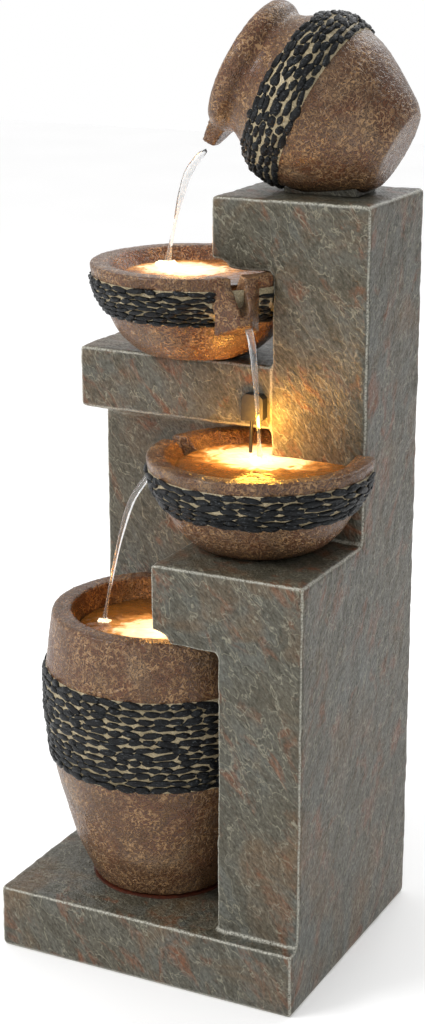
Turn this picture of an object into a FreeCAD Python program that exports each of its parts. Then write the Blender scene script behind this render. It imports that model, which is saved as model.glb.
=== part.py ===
import FreeCAD, Part
import math
import os

import Sketcher

# Three-bowl fountain on a slate-look column, in millimetres.
# Frame: +Z up, the front faces -Y, the origin is the middle of the base's underside.

doc = FreeCAD.newDocument("fountain")

SIZES = [
    # casting
    ("base_wide", 347.0, "base, left to right"),
    ("base_deep", 316.0, "base, front to back"),
    ("base_tall", 70.0, "base, height"),
    ("wall", 8.0, "casting wall thickness"),
    ("column_tall", 812.0, "top of the rear column"),
    ("column_front", 11.0, "front plane of the column"),
    ("column_left", 66.7, "left side of the column's leg"),
    ("column_arm_left", -3.2, "left end of the column's arm"),
    ("column_arm_tall", 66.5, "height of the column's arm"),
    ("stand_tall", 461.7, "top of the front pedestal"),
    ("stand_front", -139.7, "front plane of the pedestal"),
    ("stand_left", 81.0, "left side of the pedestal's leg"),
    ("stand_arm_left", 5.8, "left end of the pedestal's arm"),
    ("stand_arm_tall", 71.6, "height of the pedestal's arm"),
    ("shelf_top", 638.8, "top of the shelf"),
    ("shelf_thick", 68.3, "thickness of the shelf"),
    ("shelf_left", -164.8, "left end of the shelf"),
    ("shelf_front", 16.0, "front plane of the shelf"),
    ("rear_left", -172.0, "left end of the rear wall"),
    ("rear_front", 88.0, "front plane of the rear wall"),
    ("cove_radius", 33.0, "cove under the shelf"),
    ("corbel_inset", 20.0, "corbel set back from an arm's end"),
    ("post_wide", 16.0, "screw post in a base corner"),
    ("plate_thick", 6.0, "base plate thickness"),
    ("screw_radius", 2.0, "base screw shank radius"),
    ("screw_head_radius", 4.0, "base screw head radius"),
    # access cover
    ("cover_wide", 148.0, "access cover width"),
    ("cover_tall", 127.0, "access cover height"),
    ("cover_thick", 20.0, "how far the cover stands out"),
    ("cover_across", 96.5, "cover centre, left to right"),
    ("cover_height", 227.5, "cover centre height"),
    ("cover_rim", 14.0, "cover overlap beyond the opening"),
    ("cover_wall", 4.0, "cover wall thickness"),
    ("cover_lip", 10.0, "cover lip length inside the opening"),
    ("gasket_thick", 1.6, "gasket thickness"),
    # bowls
    ("bowl_tall", 98.0, "bowl height"),
    ("upper_radius", 114.5, "upper bowl rim radius"),
    ("middle_radius", 118.0, "middle bowl rim radius"),
    ("bowl_rim", 21.0, "width of a bowl's flat rim"),
    ("bowl_foot_in", 58.0, "rim radius less foot radius"),
    ("band_low", 46.0, "lower edge of a bowl's pebble band"),
    ("band_high", 85.0, "upper edge of a bowl's pebble band"),
    ("band_thick", 3.5, "thickness of a pebble band"),
    ("upper_across", -37.5, "upper bowl centre, left to right"),
    ("upper_back", 50.0, "upper bowl centre, front to back"),
    ("middle_across", 74.6, "middle bowl centre, left to right"),
    ("middle_back", -28.9, "middle bowl centre, front to back"),
    ("spout_reach", 13.0, "how far a bowl's spout passes the rim"),
    ("spout_wide", 32.0, "spout width at the rim"),
    ("spout_tip", 17.0, "spout width at the tip"),
    ("spout_drop", 31.0, "fall of the spout's lips"),
    # lower pot
    ("pot_top", 377.6, "lower pot rim height"),
    ("pot_rim", 118.9, "lower pot rim radius"),
    ("pot_belly", 127.5, "lower pot belly radius"),
    ("pot_foot", 77.0, "lower pot foot radius"),
    ("pot_across", -37.3, "lower pot centre, left to right"),
    ("pot_back", -33.7, "lower pot centre, front to back"),
    ("pot_mouth", 96.5, "lower pot mouth radius"),
    ("pot_floor", 296.0, "basin floor in the lower pot"),
    ("seat_tall", 3.0, "seat ring under the lower pot"),
    # jug
    ("jug_long", 188.0, "jug length along its axis"),
    ("jug_foot", 44.3, "jug foot radius"),
    ("jug_belly", 92.3, "jug belly radius"),
    ("jug_neck", 66.5, "jug neck radius"),
    ("jug_lip", 74.0, "jug lip radius"),
    ("jug_mouth", 60.0, "jug mouth radius"),
    ("jug_wall", 9.0, "jug wall thickness"),
    ("jug_across", 168.5, "jug foot centre, left to right"),
    ("jug_back", 93.6, "jug foot centre, front to back"),
    ("jug_height", 856.6, "jug foot centre height"),
    ("jug_turn", 184.6, "jug heading in degrees"),
    ("jug_lean", 63.3, "jug lean from upright in degrees"),
    # lights, cable, hose
    ("light_radius", 16.0, "light housing radius"),
    ("light_tall", 12.0, "light housing height"),
    ("cable_thick", 3.7, "light cable diameter"),
    ("grommet_across", 48.0, "shelf grommet centre, left to right"),
    ("grommet_height", 594.6, "shelf grommet height"),
    ("grommet_wide", 25.0, "shelf grommet width"),
    ("grommet_deep", 11.0, "how far the grommet stands out"),
    ("inlet_radius", 5.5, "power lead grommet hole radius"),
    ("hose_radius", 8.0, "delivery hose outer radius"),
    ("hose_bore", 6.0, "delivery hose inner radius"),
    ("riser_across", 100.0, "riser centre, left to right"),
    ("riser_back", 88.0, "riser centre, front to back"),
    # pump
    ("pump_across", 112.0, "pump centre, left to right"),
    ("pump_wide", 48.0, "pump body width"),
    ("pump_long", 46.0, "pump body length"),
    ("pump_tall", 46.0, "pump body height"),
    ("pump_start", 50.0, "front end of the pump body"),
    ("pump_foot", 6.0, "suction cup height"),
    ("shaft_radius", 1.5, "pump shaft radius"),
    ("rotor_radius", 8.5, "pump rotor radius"),
    ("vane_radius", 13.0, "impeller vane radius"),
    ("vane_count", 6.0, "impeller vanes"),
    ("running_gap", 0.05, "clearance round the shaft"),
    ("fit_gap", 0.3, "clearance between loose pieces"),
]

sheet = doc.addObject("Spreadsheet::Sheet", "Dims")
for row, (alias, value, note) in enumerate(SIZES, start=1):
    sheet.set("A%d" % row, note)
    sheet.set("B%d" % row, "%g" % value)
    sheet.setAlias("B%d" % row, alias)
doc.recompute()


class Size:
    """A length with its value and the sheet expression that gives it."""

    def __init__(self, value, text):
        self.value = float(value)
        self.text = text

    @staticmethod
    def of(thing):
        return thing if isinstance(thing, Size) else Size(thing, "%g" % thing)

    def __add__(self, other):
        other = Size.of(other)
        return Size(self.value + other.value, "(%s + %s)" % (self.text, other.text))

    def __sub__(self, other):
        other = Size.of(other)
        return Size(self.value - other.value, "(%s - %s)" % (self.text, other.text))

    def __mul__(self, number):
        return Size(self.value * number, "(%s * %g)" % (self.text, number))

    def __truediv__(self, number):
        return Size(self.value / number, "(%s / %g)" % (self.text, number))

    def __neg__(self):
        return Size(-self.value, "(0 - %s)" % self.text)

    def __radd__(self, number):
        return Size.of(number) + self

    def __rsub__(self, number):
        return Size.of(number) - self


D = {alias: Size(value, "Dims." + alias) for alias, value, _ in SIZES}
NODES = []


def keep(thing, node):
    """Name a finished sub-part and put it on the list that is written out."""
    thing.Label = node
    NODES.append(thing)
    return thing


def bind(thing, **sizes):
    for name, size in sizes.items():
        thing.setExpression(name, Size.of(size).text)
    return thing


def place(thing, across=0.0, back=0.0, height=0.0, turn=None):
    """Put a thing at a bound place, with a turn given as a FreeCAD.Rotation."""
    if turn is not None:
        thing.Placement = FreeCAD.Placement(FreeCAD.Vector(), turn)
    for axis, size in (("x", across), ("y", back), ("z", height)):
        thing.setExpression("Placement.Base." + axis, Size.of(size).text)
    return thing


def box(name, low, high):
    """A box between two corners, each a triple of sizes."""
    low = [Size.of(v) for v in low]
    high = [Size.of(v) for v in high]
    thing = doc.addObject("Part::Box", name)
    bind(thing, Length=high[0] - low[0], Width=high[1] - low[1], Height=high[2] - low[2])
    return place(thing, *low)


TURN_TO = {
    "x": FreeCAD.Rotation(FreeCAD.Vector(0, 1, 0), 90),
    "y": FreeCAD.Rotation(FreeCAD.Vector(1, 0, 0), -90),
    "z": FreeCAD.Rotation(),
}


def rod(name, radius, length, at, along="z", shape="Part::Cylinder"):
    """A cylinder from a start point, running towards +X, +Y or +Z."""
    thing = doc.addObject(shape, name)
    bind(thing, Radius=radius, Height=length)
    return place(thing, *at, turn=TURN_TO[along])


def fuse(name, things):
    joined = doc.addObject("Part::MultiFuse", name)
    joined.Shapes = list(things)
    joined.Refine = True
    return joined


def cut(name, base, tools):
    tools = list(tools)
    result = doc.addObject("Part::Cut", name)
    result.Base = base
    result.Tool = tools[0] if len(tools) == 1 else fuse(name + "_tools", tools)
    result.Refine = True
    return result


def common(name, first, second):
    shared = doc.addObject("Part::Common", name)
    shared.Base = first
    shared.Tool = second
    return shared


def plane_of(body, role):
    return next(item for item in body.Origin.OriginFeatures if item.Role == role)


def outline(body, name, role, points, offset=None):
    """A closed sketch through points, each a pair of sizes bound to the sheet."""
    sketch = body.newObject("Sketcher::SketchObject", name)
    sketch.AttachmentSupport = [(plane_of(body, role), "")]
    sketch.MapMode = "FlatFace"
    if offset is not None:
        sketch.setExpression("AttachmentOffset.Base.z", Size.of(offset).text)
    points = [(Size.of(u), Size.of(v)) for u, v in points]
    corners = [FreeCAD.Vector(u.value, v.value, 0) for u, v in points]
    for start, end in zip(corners, corners[1:] + corners[:1]):
        sketch.addGeometry(Part.LineSegment(start, end), False)
    count = len(points)
    for index in range(count):
        after = (index + 1) % count
        sketch.addConstraint(Sketcher.Constraint("Coincident", index, 2, after, 1))
    for index, pair in enumerate(points):
        for kind, size in zip(("DistanceX", "DistanceY"), pair):
            number = sketch.addConstraint(Sketcher.Constraint(kind, index, 1, size.value))
            sketch.setExpression("Constraints[%d]" % number, size.text)
    return sketch


def new_body(name):
    return doc.addObject("PartDesign::Body", name)


def turned(name, points):
    """A body of revolution about its own Z, from an outline of (radius, height)."""
    body = new_body(name)
    sketch = outline(body, name + "_outline", "XZ_Plane", points)
    turn = body.newObject("PartDesign::Revolution", name + "_turn")
    turn.Profile = sketch
    turn.ReferenceAxis = (sketch, ["V_Axis"])
    turn.Angle = 360.0
    body.Tip = turn
    return body


def volume(thing):
    doc.recompute()
    return thing.Shape.Volume


# ---------------------------------------------------------------- casting
half_wide = D["base_wide"] / 2
half_deep = D["base_deep"] / 2
wall = D["wall"]
stand_arm_low = D["stand_tall"] - D["stand_arm_tall"]
column_arm_low = D["column_tall"] - D["column_arm_tall"]
shelf_low = D["shelf_top"] - D["shelf_thick"]
base_top = D["base_tall"]


def casting_blocks():
    """The outside of the casting: base, pedestal, rear wall, shelf and column."""
    return [
        box("base_block", (-half_wide, -half_deep, 0), (half_wide, half_deep, base_top)),
        box("stand_leg", (D["stand_left"], D["stand_front"], 0),
            (half_wide, half_deep, D["stand_tall"])),
        box("stand_arm", (D["stand_arm_left"], D["stand_front"], stand_arm_low),
            (half_wide, D["column_front"], D["stand_tall"])),
        box("rear_block", (D["rear_left"], D["rear_front"], 0),
            (half_wide, half_deep, D["shelf_top"] - wall)),
        box("shelf_block", (D["shelf_left"], D["shelf_front"], shelf_low),
            (half_wide, half_deep, D["shelf_top"])),
        box("column_leg", (D["column_left"], D["column_front"], 0),
            (half_wide, half_deep, D["column_tall"])),
        box("column_arm", (D["column_arm_left"], D["column_front"], column_arm_low),
            (half_wide, half_deep, D["column_tall"])),
    ]


def shelf_cove(name):
    """The hollow rounding between the shelf's underside and the rear wall."""
    radius = D["cove_radius"]
    front = D["rear_front"] - radius
    low = shelf_low - radius
    block = box(name + "_block", (D["shelf_left"], front, low),
                (D["column_left"], D["rear_front"], shelf_low))
    hollow = rod(name + "_hollow", radius, D["base_wide"], (-half_wide, front, low), along="x")
    return cut(name, block, [hollow])


def corbel(name, left, right, front, back, arm_low, rim, centre, inner, depth):
    """Filling under an arm: a slab over the rim and a drop inside the mouth."""
    slab = box(name + "_slab", (left, front, rim + D["fit_gap"]), (right, back, arm_low))
    drop = box(name + "_drop", (left, front, rim - depth), (right, back, arm_low))
    mouth = rod(name + "_mouth", inner, depth * 3, (centre[0], centre[1], rim - depth * 2))
    return fuse(name, [slab, common(name + "_inside", drop, mouth)])


def casting_hollows():
    """The inside of the casting: sump, riser, arms, shelf and the open base."""
    in_right = half_wide - wall
    in_back = half_deep - wall
    column_in = D["column_left"] + wall
    return [
        box("base_hollow", (-half_wide + wall, -half_deep + wall, 0),
            (in_right, in_back, base_top - wall)),
        box("sump_hollow", (D["rear_left"] + wall, D["rear_front"] + wall, base_top),
            (in_right, in_back, D["shelf_top"] - wall)),
        box("riser_hollow", (column_in, D["column_front"] + wall, base_top),
            (in_right, in_back, D["column_tall"] - wall)),
        box("column_arm_hollow", (D["column_arm_left"] + wall, D["column_front"] + wall,
                                  column_arm_low + wall),
            (in_right, in_back, D["column_tall"] - wall)),
        box("shelf_hollow", (D["shelf_left"] + wall, D["shelf_front"] + wall, shelf_low + wall),
            (in_right, in_back, D["shelf_top"] - wall)),
        box("stand_hollow", (D["stand_left"] + wall, D["stand_front"] + wall, 0),
            (in_right, D["column_front"] - wall / 2, D["stand_tall"] - wall)),
        box("stand_arm_hollow", (D["stand_arm_left"] + wall, D["stand_front"] + wall,
                                 stand_arm_low + wall),
            (in_right, D["column_front"] - wall / 2, D["stand_tall"] - wall)),
    ]


post_across = half_wide - wall - D["post_wide"] / 2
post_back = half_deep - wall - D["post_wide"] / 2
CORNERS = [(side, end) for side in (-1, 1) for end in (-1, 1)]


def corner_rods(name, radius, length, start):
    """Four upright cylinders on the base's screw positions."""
    rods = [rod("%s_%d" % (name, n), radius, length, (post_across * side, post_back * end, start))
            for n, (side, end) in enumerate(CORNERS)]
    return fuse(name, rods)


def corner_posts():
    half = D["post_wide"] / 2
    posts = []
    for n, (side, end) in enumerate(CORNERS):
        low = (post_across * side - half, post_back * end - half, D["plate_thick"])
        high = (post_across * side + half, post_back * end + half, base_top - wall / 2)
        posts.append(box("post_%d" % n, low, high))
    return posts


screw_length = D["plate_thick"] * 4
opening_wide = D["cover_wide"] - D["cover_rim"] * 2
opening_tall = D["cover_tall"] - D["cover_rim"] * 2
drain_height = D["pot_floor"] + 22


def casting_openings():
    """Access opening, grommet hole, riser outlet, drain and power lead hole."""
    reach = wall * 2
    return [
        box("access_opening",
            (D["cover_across"] - opening_wide / 2, half_deep - reach,
             D["cover_height"] - opening_tall / 2),
            (D["cover_across"] + opening_wide / 2, half_deep + wall,
             D["cover_height"] + opening_tall / 2)),
        rod("grommet_hole", D["cable_thick"] * 2, wall * 3,
            (D["grommet_across"], D["shelf_front"] - wall, D["grommet_height"]), along="y"),
        rod("riser_hole", D["hose_radius"] + D["fit_gap"], reach,
            (D["riser_across"], D["riser_back"], D["column_tall"] - wall * 1.5)),
        rod("drain_hole", D["hose_radius"] + D["fit_gap"], wall * 3,
            (D["pot_across"], D["rear_front"] - wall, drain_height), along="y"),
        rod("lead_hole", D["inlet_radius"], wall * 3,
            (D["stand_arm_left"], half_deep - reach, D["cover_height"]), along="y"),
    ]


def make_casting():
    upper_rim = D["shelf_top"] + D["bowl_tall"]
    corbels = [
        corbel("column_corbel", D["column_arm_left"] + D["corbel_inset"], D["column_left"] + 1,
               D["column_front"] + wall, half_deep, column_arm_low + 1, upper_rim,
               (D["upper_across"], D["upper_back"]),
               D["upper_radius"] - D["bowl_rim"] - 16, D["corbel_inset"]),
        corbel("stand_corbel", D["stand_arm_left"] + D["corbel_inset"], D["stand_left"] + 1,
               D["stand_front"] + wall, D["column_front"], stand_arm_low + 1, D["pot_top"],
               (D["pot_across"], D["pot_back"]),
               D["pot_mouth"] - D["corbel_inset"] / 3, D["corbel_inset"]),
    ]
    outside = fuse("casting_outside", casting_blocks() + [shelf_cove("shelf_cove")] + corbels)
    hollow = cut("casting_hollowed", outside, casting_hollows())
    with_posts = fuse("casting_posts", [hollow] + corner_posts())
    pilots = corner_rods("post_pilots", D["screw_radius"] + D["fit_gap"] / 3, screw_length + 2, 0)
    return cut("casting", with_posts, casting_openings() + [pilots])


def split_casting(casting):
    """Write the one casting as six plain sections that meet face to face."""
    left, right = -D["base_wide"], D["base_wide"]
    front, back = -D["base_deep"], D["base_deep"]
    top = D["column_tall"] * 2
    sections = {
        "casting_base": ((left, front, -1), (right, back, base_top)),
        "casting_stand": ((left, front, base_top), (right, D["column_front"], top)),
        "casting_shelf": ((left, D["column_front"], base_top),
                          (D["column_left"], D["rear_front"], D["shelf_top"])),
        "casting_rear": ((left, D["rear_front"], base_top),
                         (D["column_left"], back, D["shelf_top"])),
        "casting_column": ((D["column_left"], D["column_front"], base_top),
                           (right, back, D["shelf_top"])),
        "casting_head": ((left, D["column_front"], D["shelf_top"]), (right, back, top)),
    }
    for node, (low, high) in sections.items():
        keep(common(node, casting, box(node + "_room", low, high)), node)


split_casting(make_casting())


def make_base_plate():
    gap = D["fit_gap"]
    blank = box("plate_blank", (-half_wide + wall + gap, -half_deep + wall + gap, 0),
                (half_wide - wall - gap, half_deep - wall - gap, D["plate_thick"] - gap / 3))
    holes = corner_rods("plate_holes", D["screw_radius"] + gap / 3, D["plate_thick"] * 2,
                        -D["plate_thick"])
    heads = corner_rods("plate_recesses", D["screw_head_radius"] + gap, D["plate_thick"] / 2,
                        -gap)
    keep(cut("plate", blank, [holes, heads]), "base_plate")
    shanks = corner_rods("screw_shanks", D["screw_radius"], screw_length, gap * 2)
    caps = corner_rods("screw_caps", D["screw_head_radius"], D["plate_thick"] / 3, gap)
    keep(fuse("plate_screws", [shanks, caps]), "base_screws")


make_base_plate()


# ---------------------------------------------------------------- access cover
def rectangle(wide, tall):
    half = (wide / 2, tall / 2)
    return [(-half[0], -half[1]), (half[0], -half[1]), (half[0], half[1]), (-half[0], half[1])]


def pad(body, name, sketch, length, reverse=False, taper=0.0):
    feature = body.newObject("PartDesign::Pad", name)
    feature.Profile = sketch
    feature.setExpression("Length", Size.of(length).text)
    feature.Reversed = reverse
    feature.TaperAngle = taper
    body.Tip = feature
    return feature


def pocket(body, name, sketch, length, reverse=False):
    before = volume(body)
    feature = body.newObject("PartDesign::Pocket", name)
    feature.Profile = sketch
    feature.setExpression("Length", Size.of(length).text)
    feature.Reversed = reverse
    body.Tip = feature
    if volume(body) > before - 1.0:
        raise RuntimeError(name + " removes nothing")
    return feature


def make_access_cover():
    """A hollow tapered cover with a lip that plugs the opening, and its gasket."""
    gap = D["fit_gap"]
    body = new_body("cover")
    shell = outline(body, "cover_outline", "XZ_Plane", rectangle(D["cover_wide"], D["cover_tall"]))
    pad(body, "cover_pad", shell, D["cover_thick"], reverse=True, taper=-25.0)
    inset = D["cover_rim"] * 2 + gap * 4
    lip = rectangle(D["cover_wide"] - inset, D["cover_tall"] - inset)
    pad(body, "cover_lip_pad", outline(body, "cover_lip_outline", "XZ_Plane", lip), D["cover_lip"])
    inner = D["cover_wall"] * 2 + inset
    hollow = rectangle(D["cover_wide"] - inner, D["cover_tall"] - inner)
    sketch = outline(body, "cover_hollow_outline", "XZ_Plane", hollow, offset=D["cover_lip"])
    pocket(body, "cover_hollow", sketch, D["cover_thick"] + D["cover_lip"] - D["cover_wall"],
           reverse=False)
    seal = D["gasket_thick"]
    place(body, D["cover_across"], half_deep + seal, D["cover_height"])
    keep(body, "access_cover")
    low = (D["cover_across"] - D["cover_wide"] / 2 + 3, half_deep,
           D["cover_height"] - D["cover_tall"] / 2 + 3)
    high = (D["cover_across"] + D["cover_wide"] / 2 - 3, half_deep + seal,
            D["cover_height"] + D["cover_tall"] / 2 - 3)
    ring = box("gasket_blank", low, high)
    hole = box("gasket_hole",
               (D["cover_across"] - opening_wide / 2, half_deep - 1,
                D["cover_height"] - opening_tall / 2),
               (D["cover_across"] + opening_wide / 2, half_deep + seal + 1,
                D["cover_height"] + opening_tall / 2))
    keep(cut("gasket", ring, [hole]), "cover_gasket")


make_access_cover()


# ---------------------------------------------------------------- bowls
BOWL_WELL = 20.0
bowl_floor = D["bowl_tall"] - 84


def bowl_outline(radius):
    """Half section of a bowl: foot, wall with its band face, rim and inside."""
    tall = D["bowl_tall"]
    foot = radius - D["bowl_foot_in"]
    mouth = radius - D["bowl_rim"]
    return [
        (0, 0), (foot, 0), (foot + 17, 11), (foot + 29, 24), (radius - 18, D["band_low"]),
        (radius - 6, D["band_high"] - 18), (radius - 2, D["band_high"]), (radius, tall - 3),
        (radius - 1, tall - 0.8), (radius - 3, tall), (mouth + 2, tall), (mouth, tall - 2),
        (mouth - 10, tall - 14), (mouth - 24, tall - 32), (mouth - 42, tall - 58),
        (mouth - 62, tall - 76), (BOWL_WELL, bowl_floor), (0, bowl_floor),
    ]


def loft(body, name, kind, near, far):
    feature = body.newObject("PartDesign::" + kind, name)
    feature.Profile = near
    feature.Sections = [far]
    feature.Ruled = True
    body.Tip = feature
    doc.recompute()
    return feature


def upright(half, low, high):
    """A rectangle across the spout: half its width each side, from low to high."""
    return [(-half, low), (half, low), (half, high), (-half, high)]


def make_bowl(name, radius, across, back, height, heading, tools):
    """A bowl with a beak-like spout along its own +X, turned to its heading."""
    body = turned(name + "_blank", bowl_outline(radius))
    tall = D["bowl_tall"]
    root = radius - D["bowl_rim"] / 2
    tip = radius + D["spout_reach"]
    lips = tall - D["spout_drop"]
    # the spout's sections stand across its run, on planes along its own +X
    near = outline(body, name + "_spout_root", "YZ_Plane",
                   upright(D["spout_wide"] / 2, tall - 50, tall - 0.4), offset=root)
    far = outline(body, name + "_spout_end", "YZ_Plane",
                  upright(D["spout_tip"] / 2, lips - 10, lips), offset=tip)
    loft(body, name + "_spout", "AdditiveLoft", near, far)
    deep = tall - 20
    near = outline(body, name + "_channel_root", "YZ_Plane",
                   upright(D["spout_wide"] / 2 - 5, deep, tall + 12), offset=radius - 42)
    far = outline(body, name + "_channel_end", "YZ_Plane",
                  upright(D["spout_tip"] / 2 - 3, lips - 6, lips + 4), offset=tip + 1)
    before = volume(body)
    loft(body, name + "_channel", "SubtractiveLoft", near, far)
    if volume(body) > before - 1.0:
        raise RuntimeError(name + " has no spout channel")
    turn = FreeCAD.Rotation(FreeCAD.Vector(0, 0, 1), heading)
    place(body, across, back, height, turn=turn)
    result = cut(name + "_trimmed", body, tools) if tools else body
    return keep(result, name)


def band_outline(radius):
    """Half section of the pebble band that lies on a bowl's wall."""
    thick = D["band_thick"]
    low = D["band_low"]
    high = D["band_high"]
    face = 0.2
    return [
        (radius - 18 + face, low), (radius - 15.5 + thick, low + 1),
        (radius - 5 + thick, high - 18), (radius - 2 + thick, high - 6),
        (radius - 1.8, high), (radius - 6 + face, high - 18),
    ]


def make_band(name, body, across, back, height, heading, tools, gap_start, gap_size):
    """Turn a band to its heading and open it where the spout passes."""
    turn = FreeCAD.Rotation(FreeCAD.Vector(0, 0, 1), heading)
    place(body, across, back, height, turn=turn)
    opening = doc.addObject("Part::Box", name + "_spout_gap")
    bind(opening, Length=gap_size * 2, Width=gap_size, Height=D["bowl_tall"])
    angle = math.radians(heading)
    side = gap_size / 2
    place(opening,
          across + gap_start * math.cos(angle) + side * math.sin(angle),
          back + gap_start * math.sin(angle) - side * math.cos(angle), height, turn=turn)
    return keep(cut(name + "_trimmed", body, [opening] + tools), name)


def column_tool(name):
    """A block that fills the column's leg, to trim what stands against it."""
    return box(name, (D["column_left"], D["column_front"], base_top),
               (half_wide * 2, half_deep * 2, D["column_tall"]))


def rear_tool(name):
    """A block that fills the rear wall under the shelf, to trim what stands against it."""
    return box(name, (-half_wide * 2, D["rear_front"], base_top),
               (half_wide * 2, half_deep * 2, shelf_low))


UPPER_HEADING = -42.0
MIDDLE_HEADING = 172.0

upper_place = (D["upper_across"], D["upper_back"], D["shelf_top"])
middle_place = (D["middle_across"], D["middle_back"], D["stand_tall"])

make_bowl("upper_bowl", D["upper_radius"], *upper_place, UPPER_HEADING,
          [column_tool("upper_bowl_column")])
make_band("upper_band", turned("upper_band_ring", band_outline(D["upper_radius"])),
          *upper_place, UPPER_HEADING, [column_tool("upper_band_column")],
          D["upper_radius"] - 30, D["spout_wide"])
make_bowl("middle_bowl", D["middle_radius"], *middle_place, MIDDLE_HEADING,
          [column_tool("middle_bowl_column"), rear_tool("middle_bowl_rear"),
           shelf_cove("middle_bowl_cove")])
make_band("middle_band", turned("middle_band_ring", band_outline(D["middle_radius"])),
          *middle_place, MIDDLE_HEADING,
          [column_tool("middle_band_column"), rear_tool("middle_band_rear"),
           shelf_cove("middle_band_cove")],
          D["middle_radius"] - 30, D["spout_wide"])


# ---------------------------------------------------------------- lower pot
pot_low = base_top + D["seat_tall"]
POT_BAND_LOW = 214.0
POT_BAND_HIGH = 316.0


def pot_outline():
    """Half section of the pot: open underneath, with a raised basin floor."""
    shell = wall * 1.5
    top = D["pot_top"]
    rim = D["pot_rim"]
    belly = D["pot_belly"]
    floor = D["pot_floor"]
    return [
        (D["pot_foot"], pot_low), (belly - 30, base_top + 50), (belly - 14.5, base_top + 107),
        (belly - 6, POT_BAND_LOW), (belly, base_top + 200), (belly, POT_BAND_HIGH - 20),
        (belly - 1, POT_BAND_HIGH), (rim + 4, top - 30), (rim, top - 3), (rim - 1, top - 0.8),
        (rim - 3, top), (D["pot_mouth"] + 2, top), (D["pot_mouth"], top - 2),
        (D["pot_mouth"] - 6, floor + 30), (D["pot_mouth"] - 14, floor), (0, floor),
        (0, floor - wall), (D["pot_mouth"] - 4, floor - wall),
        (belly - 6 - shell, POT_BAND_LOW), (belly - 30 - shell, base_top + 50),
        (D["pot_foot"] - shell, pot_low),
    ]


def pot_tools(name):
    """Blocks that trim the pot against the pedestal's leg, the column and the rear wall."""
    return [
        box(name + "_stand", (D["stand_left"], D["stand_front"], base_top),
            (half_wide, half_deep, D["pot_top"] + 1)),
        column_tool(name + "_column"),
        rear_tool(name + "_rear"),
    ]


def make_pot():
    blank = turned("pot_blank", pot_outline())
    place(blank, D["pot_across"], D["pot_back"], 0)
    drain = rod("pot_drain", D["hose_radius"] + D["fit_gap"], half_deep,
                (D["pot_across"], D["pot_back"], drain_height), along="y")
    pot = cut("pot", blank, pot_tools("pot") + [drain])
    floor = D["pot_floor"]
    reach = D["base_wide"]
    for node, low, high in (("lower_pot", 0, floor), ("pot_mouth", floor, D["pot_top"] + wall)):
        keep(common(node, pot, box(node + "_room", (-reach, -reach, low), (reach, reach, high))),
             node)
    thick = D["band_thick"]
    belly = D["pot_belly"]
    face = 0.2
    ring = turned("pot_band_ring", [
        (belly - 6 + face, POT_BAND_LOW), (belly - 4 + thick, POT_BAND_LOW + 2),
        (belly + thick, base_top + 200), (belly + thick, POT_BAND_HIGH - 20),
        (belly - 1 + thick, POT_BAND_HIGH - 3), (belly - 1 + face, POT_BAND_HIGH),
        (belly + face, POT_BAND_HIGH - 20), (belly + face, base_top + 200),
    ])
    place(ring, D["pot_across"], D["pot_back"], 0)
    keep(cut("pot_ring", ring, pot_tools("pot_ring")), "pot_band")
    outer = rod("seat_outer", D["pot_foot"] + 2, D["seat_tall"],
                (D["pot_across"], D["pot_back"], base_top))
    inner = rod("seat_inner", D["pot_foot"] - wall * 2, D["seat_tall"] * 3,
                (D["pot_across"], D["pot_back"], base_top - 3))
    keep(cut("seat", outer, [inner]), "pot_seat")


make_pot()


# ---------------------------------------------------------------- jug
JUG_TURN = FreeCAD.Rotation(D["jug_turn"].value, D["jug_lean"].value, 0)
JUG_AXIS = JUG_TURN.multVec(FreeCAD.Vector(0, 0, 1))
JUG_DOWN = JUG_TURN.multVec(FreeCAD.Vector(1, 0, 0))
JUG_BAND_LOW = 88.0
JUG_BAND_HIGH = 136.0


def jug_profile():
    """The jug's outside as (radius, distance from the foot)."""
    belly = D["jug_belly"]
    neck = D["jug_neck"]
    lip = D["jug_lip"]
    return [
        (D["jug_foot"] - 2, 0), (D["jug_foot"], 2), (D["jug_foot"] + 8, 9),
        (belly - 19.6, 44), (belly - 9, 64), (belly - 3, JUG_BAND_LOW), (belly, 108),
        (belly - 3, 121), (belly - 12.5, JUG_BAND_HIGH), (neck + 3.5, 152), (neck, 161),
        (neck + 6.5, 169), (lip, 177), (lip - 2, D["jug_long"] - 4), (lip - 7, D["jug_long"]),
    ]


def place_on_jug(thing, down=0.0, along=0.0, turn=None):
    """Put a thing in the jug's own frame: down towards its spout side, along its axis."""
    down = Size.of(down)
    along = Size.of(along)
    foot = (D["jug_across"], D["jug_back"], D["jug_height"])
    ends = [start + down * JUG_DOWN[k] + along * JUG_AXIS[k] for k, start in enumerate(foot)]
    return place(thing, *ends, turn=JUG_TURN if turn is None else JUG_TURN.multiply(turn))


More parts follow.
